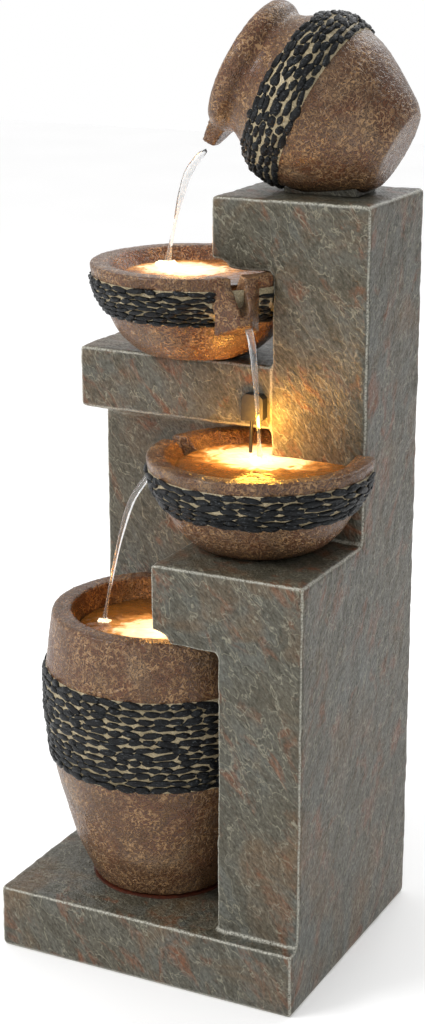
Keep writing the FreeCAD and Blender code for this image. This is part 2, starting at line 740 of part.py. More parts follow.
def make_jug():
    thick = D["jug_wall"]
    belly = D["jug_belly"]
    inside = [
        (D["jug_mouth"] + 2, D["jug_long"]), (D["jug_mouth"], D["jug_long"] - 4),
        (D["jug_neck"] - thick, 160), (belly - 12.5 - thick, JUG_BAND_HIGH),
        (belly - thick, 108), (belly - 9 - thick, 64), (belly - 19.6 - thick, 44),
        (D["jug_foot"] - 2, 14), (0, 10),
    ]
    body = turned("jug_blank", [(0, 0)] + jug_profile() + inside)
    # the pouring lip: a beak on the lower side of the mouth, with its channel
    tip = D["jug_lip"] + 15
    lip_low = D["jug_long"] - 22
    near = outline(body, "jug_spout_root", "YZ_Plane", upright(26, lip_low - 2, D["jug_long"] - 1),
                   offset=D["jug_mouth"] + 6)
    far = outline(body, "jug_spout_end", "YZ_Plane", upright(12, lip_low + 9, D["jug_long"] + 6),
                  offset=tip)
    loft(body, "jug_spout", "AdditiveLoft", near, far)
    near = outline(body, "jug_channel_root", "YZ_Plane",
                   upright(20, D["jug_long"] - 12, D["jug_long"] + 24), offset=D["jug_mouth"] - 14)
    far = outline(body, "jug_channel_end", "YZ_Plane",
                  upright(8, D["jug_long"] - 4, D["jug_long"] + 24), offset=tip + 1)
    before = volume(body)
    loft(body, "jug_channel", "SubtractiveLoft", near, far)
    if volume(body) > before - 1.0:
        raise RuntimeError("the jug has no spout channel")
    place_on_jug(body)
    riser = rod("jug_riser_hole", D["hose_radius"] + 1, D["jug_wall"] * 6,
                (D["riser_across"], D["riser_back"], D["column_tall"] - 8))
    # the flat ground on the jug's side where it lies on the column
    seat = box("jug_seat", (D["column_left"] - wall * 2, D["column_front"], D["shelf_top"]),
               (half_wide, half_deep, D["column_tall"]))
    keep(cut("jug_drilled", body, [riser, seat]), "jug")
    band = D["band_thick"]
    face = 0.2
    ring = turned("jug_ring", [
        (belly - 3 + face, JUG_BAND_LOW), (belly - 1 + band, JUG_BAND_LOW + 2),
        (belly + band, 108), (belly - 3 + band, 121), (belly - 11.5 + band, JUG_BAND_HIGH - 3),
        (belly - 12.5 + face, JUG_BAND_HIGH), (belly - 3 + face, 121), (belly + face, 108),
    ])
    keep(place_on_jug(ring), "jug_band")
    # mortar saddle between the column's top and the jug's side
    bed = box("saddle_bed", (D["riser_across"] - 44, D["riser_back"] - 26, D["column_tall"]),
              (D["riser_across"] + 36, D["riser_back"] + 26, D["column_tall"] + 8))
    clearance = D["fit_gap"]
    form = turned("saddle_form", [(0, 0)] + [(r + clearance, s) for r, s in jug_profile()[:-5]]
                  + [(0, JUG_BAND_HIGH)])
    place_on_jug(form)
    pipe = rod("saddle_pipe", D["hose_radius"] + D["fit_gap"], D["jug_wall"] * 3,
               (D["riser_across"], D["riser_back"], D["column_tall"] - 4))
    band_form = turned("saddle_band_form", [
        (0, JUG_BAND_LOW - 2), (belly + band + 1, JUG_BAND_LOW - 2),
        (belly + band + 1, JUG_BAND_HIGH), (0, JUG_BAND_HIGH)])
    place_on_jug(band_form)
    keep(cut("saddle", bed, [form, band_form, pipe]), "jug_saddle")


make_jug()


# ---------------------------------------------------------------- lights
def make_light(name, place_piece):
    """A round submersible light: housing, board and domed cover."""
    radius = D["light_radius"]
    tall = D["light_tall"]
    housing = turned(name + "_housing_blank", [
        (0, 0), (radius - 1.5, 0), (radius, 1.5), (radius, tall - 2), (radius - 1.5, tall),
        (radius - 3, tall), (radius - 3, 5), (0, 5)])
    keep(place_piece(housing), name + "_housing")
    board = turned(name + "_board_blank", [
        (0, 5), (radius - 4, 5), (radius - 4, 6.6), (0, 6.6)])
    keep(place_piece(board), name + "_board")
    cover = turned(name + "_cover_blank", [
        (0, 9), (radius - 3.3, 9), (radius - 3.3, tall), (radius - 6, tall + 2.5),
        (radius - 11, tall + 4), (0, tall + 4.5)])
    keep(place_piece(cover), name + "_cover")


def light_in_bowl(across, back, height):
    return lambda thing: place(thing, across, back, height + bowl_floor)


def light_in_jug(thing):
    """The jug's light lies on the lower wall of its belly, facing the mouth."""
    return place_on_jug(thing, down=50, along=112)


make_light("upper_light", light_in_bowl(*upper_place))
make_light("middle_light", light_in_bowl(*middle_place))
make_light("pot_light", lambda thing: place(thing, D["pot_across"], D["pot_back"],
                                            D["pot_floor"]))
make_light("jug_light", light_in_jug)


# ---------------------------------------------------------------- cords and hose
def tangent_path(points, radii):
    """A wire of straight runs joined by arcs of the given radii at the inner points."""
    points = [FreeCAD.Vector(*p) for p in points]
    edges = []
    start = points[0]
    for before, corner, after, radius in zip(points, points[1:], points[2:], radii):
        back = (before - corner).normalize()
        ahead = (after - corner).normalize()
        half_turn = (math.pi - back.getAngle(ahead)) / 2
        reach = radius * math.tan(half_turn)
        middle = (back + ahead).normalize()
        centre = corner + middle * (radius / math.cos(half_turn))
        enter = corner + back * reach
        leave = corner + ahead * reach
        edges.append(Part.LineSegment(start, enter).toShape())
        edges.append(Part.Arc(enter, centre - middle * radius, leave).toShape())
        start = leave
    edges.append(Part.LineSegment(start, points[-1]).toShape())
    return Part.Wire(edges)


def arc_radii(points, largest=1e9):
    """Each inner point's arc: 0.45 of its shorter run over the tangent of half its turn."""
    points = [FreeCAD.Vector(*p) for p in points]
    radii = []
    for before, corner, after in zip(points, points[1:], points[2:]):
        into = corner - before
        out = after - corner
        half_turn = into.getAngle(out) / 2
        shorter = min(into.Length, out.Length)
        radii.append(min(largest, 0.45 * shorter / math.tan(half_turn)))
    return radii


def swept(wire, radius):
    """A solid of round section along a wire."""
    first = wire.Edges[0]
    start = first.valueAt(first.FirstParameter)
    heading = first.tangentAt(first.FirstParameter)
    ring = Part.Wire([Part.Circle(start, heading, radius).toShape()])
    solid = wire.makePipeShell([ring], True, False)
    expected = math.pi * radius ** 2 * wire.Length
    if abs(solid.Volume - expected) > 0.01 * expected:
        raise RuntimeError("a swept tube has the wrong volume")
    return solid


cable_across = D["grommet_across"].value - 2.5
cable_back = D["shelf_front"].value - D["grommet_deep"].value / 2
middle_x = D["middle_across"].value
middle_y = D["middle_back"].value
light_low = D["stand_tall"].value + bowl_floor.value
CABLE_ROUTE = [
    (cable_across, cable_back, D["grommet_height"].value - 13.0),
    (cable_across - 0.5, cable_back - 1.0, 563.0),
    (cable_across, cable_back - 2.5, 540.0),
    (cable_across + 0.5, cable_back - 3.5, 517.0),
    (cable_across + 2.5, cable_back - 8.0, 499.0),
    (cable_across + 8.5, cable_back - 15.5, 487.5),
    (middle_x - 11.4, middle_y + 11.4, light_low + 7.1),
]


def make_light_cable():
    radii = arc_radii(CABLE_ROUTE)
    print("light cable radii", ["%.1f" % radius for radius in radii])
    cable = doc.addObject("Part::Feature", "cable")
    cable.Shape = swept(tangent_path(CABLE_ROUTE, radii), D["cable_thick"].value / 2)
    cable.Placement = FreeCAD.Placement()
    keep(cable, "light_cable")


make_light_cable()


def make_grommets():
    """The plug that carries the light's cable out of the shelf, and the lead's grommet."""
    half = D["grommet_wide"] / 2
    body = new_body("shelf_plug")
    face = [
        (-half, -13), (half - 3, -13), (half, -10), (half, 11), (half - 4, 15),
        (-half + 4, 15), (-half, 11),
    ]
    sketch = outline(body, "shelf_plug_outline", "XZ_Plane", face)
    pad(body, "shelf_plug_pad", sketch, D["grommet_deep"])
    place(body, D["grommet_across"], D["shelf_front"], D["grommet_height"])
    stem = rod("shelf_plug_stem", D["cable_thick"] * 2 - 0.2, wall + 2,
               (D["grommet_across"], D["shelf_front"] - 1, D["grommet_height"]), along="y")
    keep(fuse("shelf_plug_whole", [body, stem]), "shelf_grommet")
    collar = rod("lead_collar", D["inlet_radius"] + 4, 3,
                 (D["stand_arm_left"], half_deep, D["cover_height"]), along="y")
    sleeve = rod("lead_sleeve", D["inlet_radius"] - 0.1, wall,
                 (D["stand_arm_left"], half_deep - wall, D["cover_height"]), along="y")
    bore = rod("lead_bore", D["inlet_radius"] - 2, wall * 3,
               (D["stand_arm_left"], half_deep - wall * 1.5, D["cover_height"]), along="y")
    keep(cut("lead_grommet_whole", fuse("lead_rings", [collar, sleeve]), [bore]), "lead_grommet")


make_grommets()


# ---------------------------------------------------------------- pump
pump_x = D["pump_across"]
pump_low = base_top + D["pump_foot"]
pump_axis = pump_low + D["pump_tall"] / 2
pump_front = D["pump_start"]
pump_end = D["pump_start"] + D["pump_long"]
CHAMBER = 16.0
DIAL_RADIUS = 17.0
PIN_RADIUS = 2.0
outlet_back = pump_end - 7


def make_pump():
    gap = D["fit_gap"]
    block = box("pump_block", (pump_x - D["pump_wide"] / 2, pump_front, pump_low),
                (pump_x + D["pump_wide"] / 2, pump_end, pump_low + D["pump_tall"]))
    well = rod("rotor_well", D["rotor_radius"] + 0.6, D["pump_long"],
               (pump_x, pump_front + 6, pump_axis), along="y")
    chamber = rod("vane_chamber", CHAMBER, CHAMBER + 1, (pump_x, pump_end - CHAMBER, pump_axis),
                  along="y")
    outlet = rod("outlet_hole", 5, D["pump_tall"], (pump_x, outlet_back, pump_axis + 4))
    coil_room = box("coil_room", (pump_x - 18, pump_front + 5, pump_axis + 11),
                    (pump_x + 18, pump_end - 20, pump_low + D["pump_tall"] - 3))
    keep(cut("pump_case", block, [well, chamber, outlet, coil_room]), "pump_body")
    coil = box("coil_block", (pump_x - 17, pump_front + 6, pump_axis + 12),
               (pump_x + 17, pump_end - 21, pump_low + D["pump_tall"] - 4))
    keep(coil, "pump_coil")
    shaft = rod("shaft_rod", D["shaft_radius"], D["pump_long"] - 8,
                (pump_x, pump_front + 6, pump_axis), along="y")
    keep(shaft, "pump_shaft")
    # rotor: magnet sleeve with the vaned impeller on its end
    start = pump_front + 7
    magnet = rod("magnet_rod", D["rotor_radius"], 24, (pump_x, start, pump_axis), along="y")
    hub = rod("hub_rod", D["rotor_radius"] - 2, 8, (pump_x, start + 24, pump_axis), along="y")
    bore = rod("rotor_bore", D["shaft_radius"] + D["running_gap"], D["pump_long"],
               (pump_x, start - 1, pump_axis), along="y")
    keep(cut("magnet_whole", magnet, [bore]), "rotor_magnet")
    vanes = []
    count = int(D["vane_count"].value)
    for n in range(count):
        vane = doc.addObject("Part::Box", "vane_%d" % n)
        bind(vane, Length=D["vane_radius"], Width=8, Height=1.6)
        turn = FreeCAD.Rotation(FreeCAD.Vector(0, 1, 0), 360.0 * n / count)
        place(vane, pump_x, start + 24, pump_axis, turn=turn)
        vanes.append(vane)
    vane_bore = rod("impeller_bore", D["shaft_radius"] + D["running_gap"], D["pump_long"],
                    (pump_x, start + 20, pump_axis), along="y")
    keep(cut("impeller_whole", fuse("impeller_vanes", [hub] + vanes), [vane_bore]),
         "pump_impeller")
    # face plate with an inlet above the pivot, and the dial that closes it
    plate = box("face_blank", (pump_x - D["pump_wide"] / 2, pump_end, pump_low),
                (pump_x + D["pump_wide"] / 2, pump_end + 3, pump_low + D["pump_tall"]))
    inlet = rod("face_inlet", 5, 12, (pump_x, pump_end - 3, pump_axis + 10), along="y")
    pivot_hole = rod("face_pivot", PIN_RADIUS + D["running_gap"], 12,
                     (pump_x, pump_end - 3, pump_axis), along="y")
    keep(cut("face_whole", plate, [inlet, pivot_hole]), "pump_face")
    front = pump_end + 3 + gap
    disc = rod("dial_disc", DIAL_RADIUS, 2, (pump_x, front, pump_axis), along="y")
    window = box("dial_window", (pump_x - 7, front - 1, pump_axis + 4),
                 (pump_x + 7, front + 3, pump_axis + DIAL_RADIUS + 1))
    knob = box("dial_knob", (pump_x - 2, front, pump_axis - 15),
               (pump_x + 2, front + 6, pump_axis - 8))
    pin = rod("dial_pin", PIN_RADIUS, 3 + gap, (pump_x, pump_end, pump_axis), along="y")
    keep(fuse("dial_whole", [cut("dial_opened", disc, [window]), knob, pin]), "flow_dial")


make_pump()


def make_strainer():
    """The slotted cap that pulls off the pump's face."""
    gap = D["fit_gap"]
    side = D["pump_wide"] / 2 + 3
    low = pump_low - 3
    high = pump_low + D["pump_tall"] + 3
    start = pump_end - 6
    end = pump_end + 18
    shell = box("strainer_block", (pump_x - side, start, low + 1), (pump_x + side, end, high))
    inside = box("strainer_inside", (pump_x - side + 3 - gap, start - 1, low + 3 - gap),
                 (pump_x + side - 3 + gap, end - 2.5, high - 3 + gap))
    slots = []
    for n in range(7):
        height = pump_low + 5 + n * 5.8
        slots.append(box("strainer_slot_%d" % n, (pump_x - 18, end - 6, height),
                         (pump_x + 18, end + 3, height + 2.6)))
    notch = box("strainer_outlet_notch", (pump_x - 9, start - 1, high - 6),
                (pump_x + 9, outlet_back + 10, high + 3))
    keep(cut("strainer_whole", shell, [inside, notch] + slots), "pump_strainer")


make_strainer()


def make_pump_feet():
    cups = []
    for n, (side, end) in enumerate([(-1, 0), (1, 0), (-1, 1), (1, 1)]):
        back = pump_front + 8 if end == 0 else pump_end - 14
        cups.append(rod("cup_%d" % n, 6, D["pump_foot"], (pump_x + 15.0 * side, back, base_top)))
    keep(fuse("cups_whole", cups), "pump_feet")


make_pump_feet()

outlet_low = pump_low + D["pump_tall"]


def make_riser():
    """Outlet nozzle, delivery hose with its clips, and the fitting inside the jug."""
    flange = rod("nozzle_flange", 8.5, 3, (pump_x, outlet_back, outlet_low))
    stem = rod("nozzle_stem", D["hose_bore"] - 0.1, 22, (pump_x, outlet_back, outlet_low))
    bore = rod("nozzle_bore", 4, 40, (pump_x, outlet_back, outlet_low - 5))
    keep(cut("nozzle_whole", fuse("nozzle_solid", [flange, stem]), [bore]), "outlet_nozzle")
    low = outlet_low.value + 4.0
    high = D["column_tall"].value + 4.0
    route = [
        (pump_x.value, outlet_back.value, low),
        (pump_x.value, outlet_back.value, low + 90.0),
        (D["riser_across"].value, D["riser_back"].value, low + 190.0),
        (D["riser_across"].value, D["riser_back"].value, high),
    ]
    wire = tangent_path(route, arc_radii(route, largest=180.0))
    outer = swept(wire, D["hose_radius"].value)
    inner = swept(wire, D["hose_bore"].value)
    hose = doc.addObject("Part::Feature", "hose")
    hose.Shape = outer.cut(inner)
    hose.Placement = FreeCAD.Placement()
    keep(hose, "delivery_hose")
    print("delivery hose length %.0f" % wire.Length)
    rings = []
    for n, (x, y, z) in enumerate([
            (pump_x, outlet_back, outlet_low + 8),
            (D["riser_across"], D["riser_back"], D["column_tall"] - 24)]):
        ring = rod("clip_outer_%d" % n, D["hose_radius"] + 1.6, 7, (x, y, z))
        hole = rod("clip_inner_%d" % n, D["hose_radius"] + 0.05, 12, (x, y, z - 2))
        rings.append(cut("clip_%d" % n, ring, [hole]))
    keep(fuse("clips_whole", rings), "hose_clips")
    tail = rod("inlet_tail", D["hose_bore"] - 0.1, 46,
               (D["riser_across"], D["riser_back"], D["column_tall"] - 20))
    cap = rod("inlet_cap", 11, 4, (D["riser_across"], D["riser_back"], D["column_tall"] + 24))
    hole = rod("inlet_hole", 4.2, 80, (D["riser_across"], D["riser_back"], D["column_tall"] - 30))
    keep(cut("inlet_whole", fuse("inlet_solid", [tail, cap]), [hole]), "jug_inlet")


make_riser()


DRAIN_START = 84.0          # from the pot's axis to the drain's mouth
SCREEN_RADIUS = 12.0
SCREEN_THICK = 2.5
SCREEN_HOLE = 1.4
SCREEN_RING = 5.0


def make_drain():
    """The pipe from the pot's basin to the sump, with a strainer disc on its mouth."""
    start = D["pot_back"] + DRAIN_START
    length = D["rear_front"] + wall + 4 - start
    pipe = rod("drain_outer", D["hose_radius"], length, (D["pot_across"], start, drain_height),
               along="y")
    bore = rod("drain_bore", D["hose_bore"], length * 2, (D["pot_across"], start - 8, drain_height),
               along="y")
    keep(cut("drain_whole", pipe, [bore]), "drain_pipe")
    disc = rod("screen_disc", SCREEN_RADIUS, SCREEN_THICK,
               (D["pot_across"], start - SCREEN_THICK, drain_height), along="y")
    holes = [
        rod("screen_hole_%d" % n, SCREEN_HOLE, SCREEN_RADIUS,
            (D["pot_across"] + SCREEN_RING * math.cos(n * math.pi / 3), start - 6,
             drain_height + SCREEN_RING * math.sin(n * math.pi / 3)), along="y")
        for n in range(6)
    ]
    keep(cut("screen_whole", disc, holes), "drain_screen")


make_drain()

# ---------------------------------------------------------------- check and write
doc.recompute()
for thing in doc.Objects:
    if "Invalid" in thing.State or "Error" in thing.State:
        raise RuntimeError("%s failed to build" % thing.Label)
names = [thing.Label for thing in NODES]
if len(set(names)) != len(names):
    raise RuntimeError("two sub-parts share a name")
for thing in NODES:
    shape = thing.Shape
    if shape.isNull() or not shape.isValid() or not shape.Solids:
        raise RuntimeError("%s has no valid solid" % thing.Label)

os.makedirs("parts", exist_ok=True)
for thing in NODES:
    thing.Shape.exportStep("parts/%s.step" % thing.Label)
    print("%-16s %8.1f cm3" % (thing.Label, thing.Shape.Volume / 1000.0))
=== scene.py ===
"""Tiered water fountain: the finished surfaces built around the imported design.

The part's own frame is in metres: +Z up, the front faces -Y, and the origin is the middle of the
base's underside. Sizes and places below are in millimetres, except those of the studio.
"""
import logging
import math
import random
from contextlib import contextmanager
from dataclasses import dataclass
from enum import Enum
from functools import partial
from typing import Callable, Iterator, Sequence

import bpy
from mathutils import Euler, Matrix, Vector, noise


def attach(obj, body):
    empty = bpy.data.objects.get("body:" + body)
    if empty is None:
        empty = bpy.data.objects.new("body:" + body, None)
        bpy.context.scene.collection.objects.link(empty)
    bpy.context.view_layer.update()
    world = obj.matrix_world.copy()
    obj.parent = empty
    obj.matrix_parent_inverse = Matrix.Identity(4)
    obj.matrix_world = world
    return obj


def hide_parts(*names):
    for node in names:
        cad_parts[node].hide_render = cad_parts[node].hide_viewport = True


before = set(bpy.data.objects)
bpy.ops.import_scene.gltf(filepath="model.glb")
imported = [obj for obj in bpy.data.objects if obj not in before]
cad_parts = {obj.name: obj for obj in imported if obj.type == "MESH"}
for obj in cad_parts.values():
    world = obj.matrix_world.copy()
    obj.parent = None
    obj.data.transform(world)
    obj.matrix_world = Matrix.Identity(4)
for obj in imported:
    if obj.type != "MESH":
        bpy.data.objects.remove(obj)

LOG = logging.getLogger("fountain")
MM = 0.001
Point = tuple[float, float, float]
Box = tuple[Point, Point]
Profile = Sequence[tuple[float, float]]
Piece = bpy.types.Object
Tree = bpy.types.NodeTree
Socket = bpy.types.NodeSocket
Inputs = dict[str | int, object]


# ------------------------------------------------------------------ materials
def linear(code: str) -> tuple[float, float, float, float]:
    """Turn an sRGB hex colour into the linear values that shaders take.

    Args:
        code: a colour such as "#8a5a3a".

    Returns:
        Linear red, green and blue, with an alpha of 1.
    """
    parts = [int(code[n:n + 2], 16) / 255.0 for n in (1, 3, 5)]
    values = [p / 12.92 if p <= 0.04045 else ((p + 0.055) / 1.055) ** 2.4 for p in parts]
    return (values[0], values[1], values[2], 1.0)


class Kind(Enum):
    """The kinds of shader node in use."""
    PLACE = "ShaderNodeTexCoord"
    MAPPING = "ShaderNodeMapping"
    GEOMETRY = "ShaderNodeNewGeometry"
    NOISE = "ShaderNodeTexNoise"
    RAMP = "ShaderNodeValToRGB"
    MIX = "ShaderNodeMix"
    MATH = "ShaderNodeMath"
    VECTOR_MATH = "ShaderNodeVectorMath"
    SPLIT = "ShaderNodeSeparateXYZ"
    RANGE = "ShaderNodeMapRange"
    BUMP = "ShaderNodeBump"
    SHADER = "ShaderNodeBsdfPrincipled"
    OUTPUT = "ShaderNodeOutputMaterial"


def add_node(tree: Tree, kind: Kind, inputs: Inputs | None = None,
             stops: Sequence[tuple[float, str]] = (), out: str | int = 0,
             **settings: object) -> Socket | None:
    """Add one shader node with its settings, colour stops, values and links.

    Args:
        tree: the material's node tree.
        kind: the kind of node.
        inputs: input name or index to a socket to link, or to a value or hex colour to set.
        stops: places and hex colours of a colour ramp.
        out: name or index of the output that is wanted.
        settings: properties of the node.

    Returns:
        That output, or none where the node has no outputs.
    """
    node = tree.nodes.new(kind.value)
    for name, value in settings.items():
        setattr(node, name, value)
    for key, value in (inputs or {}).items():
        socket = node.inputs[key]
        if isinstance(value, Socket):
            tree.links.new(value, socket)
        else:
            socket.default_value = linear(value) if isinstance(value, str) else value
    if stops:
        ramp = node.color_ramp
        while len(ramp.elements) < len(stops):
            ramp.elements.new(0.5)
        for element, (place, code) in zip(ramp.elements, stops):
            element.position = place
            element.color = linear(code)
    return node.outputs[out] if len(node.outputs) else None


class MixBy(Enum):
    """How two colours are mixed."""
    BLEND = "MIX"
    DARKEN = "MULTIPLY"
    LIGHTEN = "SCREEN"


# sockets of a mix node that mixes colours
MIX_FACTOR, MIX_FIRST, MIX_SECOND, MIX_RESULT = 0, 6, 7, 2
BLACK, WHITE = "#000000", "#ffffff"


def span(low: float, high: float, dark: str = BLACK,
         light: str = WHITE) -> list[tuple[float, str]]:
    """Give the two stops of a mask, or of a change from one colour to another."""
    return [(low, dark), (high, light)]


def per_mm(pitch: float) -> float:
    """Give a pattern's scale from the real size of its grains in millimetres."""
    return 1.0 / (pitch * MM)


def grain(lie: Socket, scale: float, detail: float = 2.0, rough: float = 0.55,
          warp: float = 0.0) -> Inputs:
    """Gather what sets a noise pattern: where it is read, its scale and its unevenness."""
    return {"Vector": lie, "Scale": scale, "Detail": detail, "Roughness": rough,
            "Distortion": warp}


def layered(tree: Tree, ground: Socket | str,
            layers: Sequence[tuple[object, Socket | str, MixBy]]) -> Socket:
    """Lay coats of colour on a ground, one over another.

    Args:
        tree: the material's node tree.
        ground: the first colour.
        layers: for each coat its share or mask, its colour, and how it mixes.

    Returns:
        The finished colour.
    """
    for share, coat, by in layers:
        ground = add_node(tree, Kind.MIX, {MIX_FACTOR: share, MIX_FIRST: ground,
                                           MIX_SECOND: coat},
                          out=MIX_RESULT, data_type="RGBA", blend_type=by.value)
    return ground


def ridges(tree: Tree, value: Socket, sharp: float, wide: float) -> Socket:
    """Mask winding ridges, which run where a noise passes its middle value.

    Args:
        tree: the material's node tree.
        value: the noise.
        sharp: how far from its middle value a ridge is full.
        wide: how far from its middle value a ridge fades out.

    Returns:
        A mask that is white on a ridge.
    """
    off = add_node(tree, Kind.MATH, {0: value, 1: 0.5}, operation="SUBTRACT")
    far = add_node(tree, Kind.MATH, {0: off}, operation="ABSOLUTE")
    return add_node(tree, Kind.RAMP, {"Fac": far}, span(sharp, wide, WHITE, BLACK))


@dataclass(frozen=True)
class Finish:
    """A material: each kind of finish makes its own patterns in shade."""
    name: str

    def shade(self, tree: Tree) -> Inputs:
        """Make the patterns and give the shader's inputs."""
        raise NotImplementedError(self.name)

    def material(self) -> bpy.types.Material:
        """Build the material once and give back the same one after that.

        Returns:
            The material.
        """
        made = bpy.data.materials.get(self.name)
        if made is None:
            made = bpy.data.materials.new(self.name)
            made.use_nodes = True
            made.node_tree.nodes.clear()
            shader = add_node(made.node_tree, Kind.SHADER, self.shade(made.node_tree))
            add_node(made.node_tree, Kind.OUTPUT, {"Surface": shader})
        return made


# the way the slate's cleavage runs through the whole casting
CLEAVAGE = Vector((-0.9, 0.75, 1.25)).to_track_quat("Z", "Y").to_euler()


@dataclass(frozen=True)
class SlateResin(Finish):
    """Filled polyester resin cast in a riven slate mould and dry-brushed.

    The eye gets a grey-green ground, fine slanting cleavage lines, rust stains and pale rubbed
    edges, all nearly matt.
    """
    name: str = "slate_cast_polyresin"
    streak_across: float = 2.4
    streak_along: float = 20.0
    stain: float = 95.0
    cool: float = 120.0
    grit: float = 1.5

    def shade(self, tree: Tree) -> Inputs:
        """Make the cleavage, the stains, the rubbed edges and the relief.

        Args:
            tree: the material's node tree.

        Returns:
            The shader's inputs.
        """
        add = partial(add_node, tree)
        place = add(Kind.PLACE, out="Object")
        lie = add(Kind.MAPPING, {
            "Vector": place, "Rotation": tuple(CLEAVAGE),
            "Scale": (self.streak_across * MM, self.streak_across * MM, self.streak_along * MM)},
            vector_type="TEXTURE")
        streaks = add(Kind.NOISE, grain(lie, 1.0, 3.0, 0.6, 0.25))
        wide = add(Kind.NOISE, grain(lie, 0.15, 3.0, 0.5, 0.35))
        rust = add(Kind.NOISE, grain(lie, 0.085, 5.0, 0.66, 0.8))
        grit = add(Kind.NOISE, grain(place, per_mm(self.grit), 1.0))
        stain = add(Kind.NOISE, grain(place, per_mm(self.stain), 5.0, 0.62, 0.8))
        cool = add(Kind.NOISE, grain(place, per_mm(self.cool), 3.0))
        worn = add(Kind.RAMP, {"Fac": grit}, span(0.3, 0.6, "#303030", WHITE))
        rubbed = layered(tree, self.edges(tree), [(1.0, worn, MixBy.DARKEN)])
        colour = layered(tree, "#575244", [
            (add(Kind.RAMP, {"Fac": cool}, span(0.36, 0.62)), "#5b5c55", MixBy.BLEND),
            (add(Kind.RAMP, {"Fac": wide}, span(0.3, 0.62, WHITE, BLACK)), "#4b473a",
             MixBy.BLEND),
            (add(Kind.RAMP, {"Fac": stain}, span(0.5, 0.68)), "#64523c", MixBy.BLEND),
            (add(Kind.RAMP, {"Fac": rust}, span(0.54, 0.7)), "#74492e", MixBy.BLEND),
            (1.0, add(Kind.RAMP, {"Fac": streaks}, span(0.3, 0.52, "#a8a59c", WHITE)),
             MixBy.DARKEN),
            (0.55, add(Kind.RAMP, {"Fac": streaks}, span(0.56, 0.76, BLACK, "#77756b")),
             MixBy.LIGHTEN),
            (ridges(tree, wide, 0.0, 0.012), "#85816f", MixBy.BLEND),
            (0.3, add(Kind.RAMP, {"Fac": grit}, span(0.6, 0.78, BLACK, "#807e74")),
             MixBy.LIGHTEN),
            (rubbed, "#b5b3a6", MixBy.BLEND)])
        relief = add(Kind.MATH, {0: streaks, 1: wide}, operation="ADD")
        coarse = add(Kind.BUMP, {"Height": relief, "Strength": 0.8, "Distance": 2.2 * MM})
        return {"Base Color": colour, "Specular IOR Level": 0.35,
                "Roughness": add(Kind.RAMP, {"Fac": streaks}, span(0.3, 0.75, "#b4b4b4", "#8c8c8c")),
                "Normal": add(Kind.BUMP, {"Height": grit, "Strength": 0.35,
                                          "Distance": 0.5 * MM, "Normal": coarse})}

    def edges(self, tree: Tree) -> Socket:
        """Mask the rounded edges, where a face looks along none of the three axes.

        Args:
            tree: the material's node tree.

        Returns:
            A mask that is white on an edge.
        """
        normal = add_node(tree, Kind.GEOMETRY, out="Normal")
        top = 0.0
        for axis in "XYZ":
            part = add_node(tree, Kind.SPLIT, {"Vector": normal}, out=axis)
            size = add_node(tree, Kind.MATH, {0: part}, operation="ABSOLUTE")
            top = add_node(tree, Kind.MATH, {0: top, 1: size}, operation="MAXIMUM")
        return add_node(tree, Kind.RAMP, {"Fac": top}, span(0.80, 0.93, WHITE, BLACK))


@dataclass(frozen=True)
class BronzedResin(Finish):
    """Resin cast from a stippled mould, painted brown and dry-brushed with tan.

    The eye gets tan crests over dark brown pits a few millimetres apart, in patches of redder
    and greyer brown.
    """
    name: str = "bronzed_cast_polyresin"
    pitch: float = 5.0
    pit: str = "#35241a"
    ground: str = "#63462f"
    crest: str = "#ab875f"
    patch: str = "#664029"
    ash: str = "#84715a"

    def shade(self, tree: Tree) -> Inputs:
        """Make the crests and pits and the patches of colour.

        Args:
            tree: the material's node tree.

        Returns:
            The shader's inputs.
        """
        add = partial(add_node, tree)
        place = add(Kind.PLACE, out="Object")
        field = add(Kind.NOISE, grain(place, per_mm(self.pitch), 1.2, 0.5, 0.7))
        fine = add(Kind.NOISE, grain(place, per_mm(self.pitch * 0.3), 1.0))
        patch = add(Kind.NOISE, grain(place, per_mm(46.0), 4.0, 0.6, 0.6))
        pale = add(Kind.NOISE, grain(place, per_mm(80.0), 3.0, warp=0.4))
        worn = add(Kind.NOISE, grain(place, per_mm(26.0), 3.0, warp=0.3))
        crests = ridges(tree, field, 0.01, 0.085)
        wear = add(Kind.RAMP, {"Fac": worn}, span(0.3, 0.62, "#3c3c3c", "#e8e8e8"))
        brushed = layered(tree, crests, [(1.0, wear, MixBy.DARKEN)])
        colour = layered(tree, self.ground, [
            (add(Kind.RAMP, {"Fac": patch}, span(0.4, 0.62)), self.patch, MixBy.BLEND),
            (add(Kind.RAMP, {"Fac": pale}, span(0.55, 0.75)), self.ash, MixBy.BLEND),
            (add(Kind.RAMP, {"Fac": fine}, span(0.3, 0.6, WHITE, BLACK)), self.pit, MixBy.BLEND),
            (brushed, self.crest, MixBy.BLEND)])
        coarse = add(Kind.BUMP, {"Height": crests, "Strength": 0.75, "Distance": 0.9 * MM})
        return {"Base Color": colour, "Specular IOR Level": 0.4,
                "Roughness": add(Kind.RAMP, {"Fac": crests}, span(0.4, 0.7, "#a0a0a0", "#707070")),
                "Normal": add(Kind.BUMP, {"Height": fine, "Strength": 0.3, "Distance": 0.4 * MM,
                                          "Normal": coarse})}


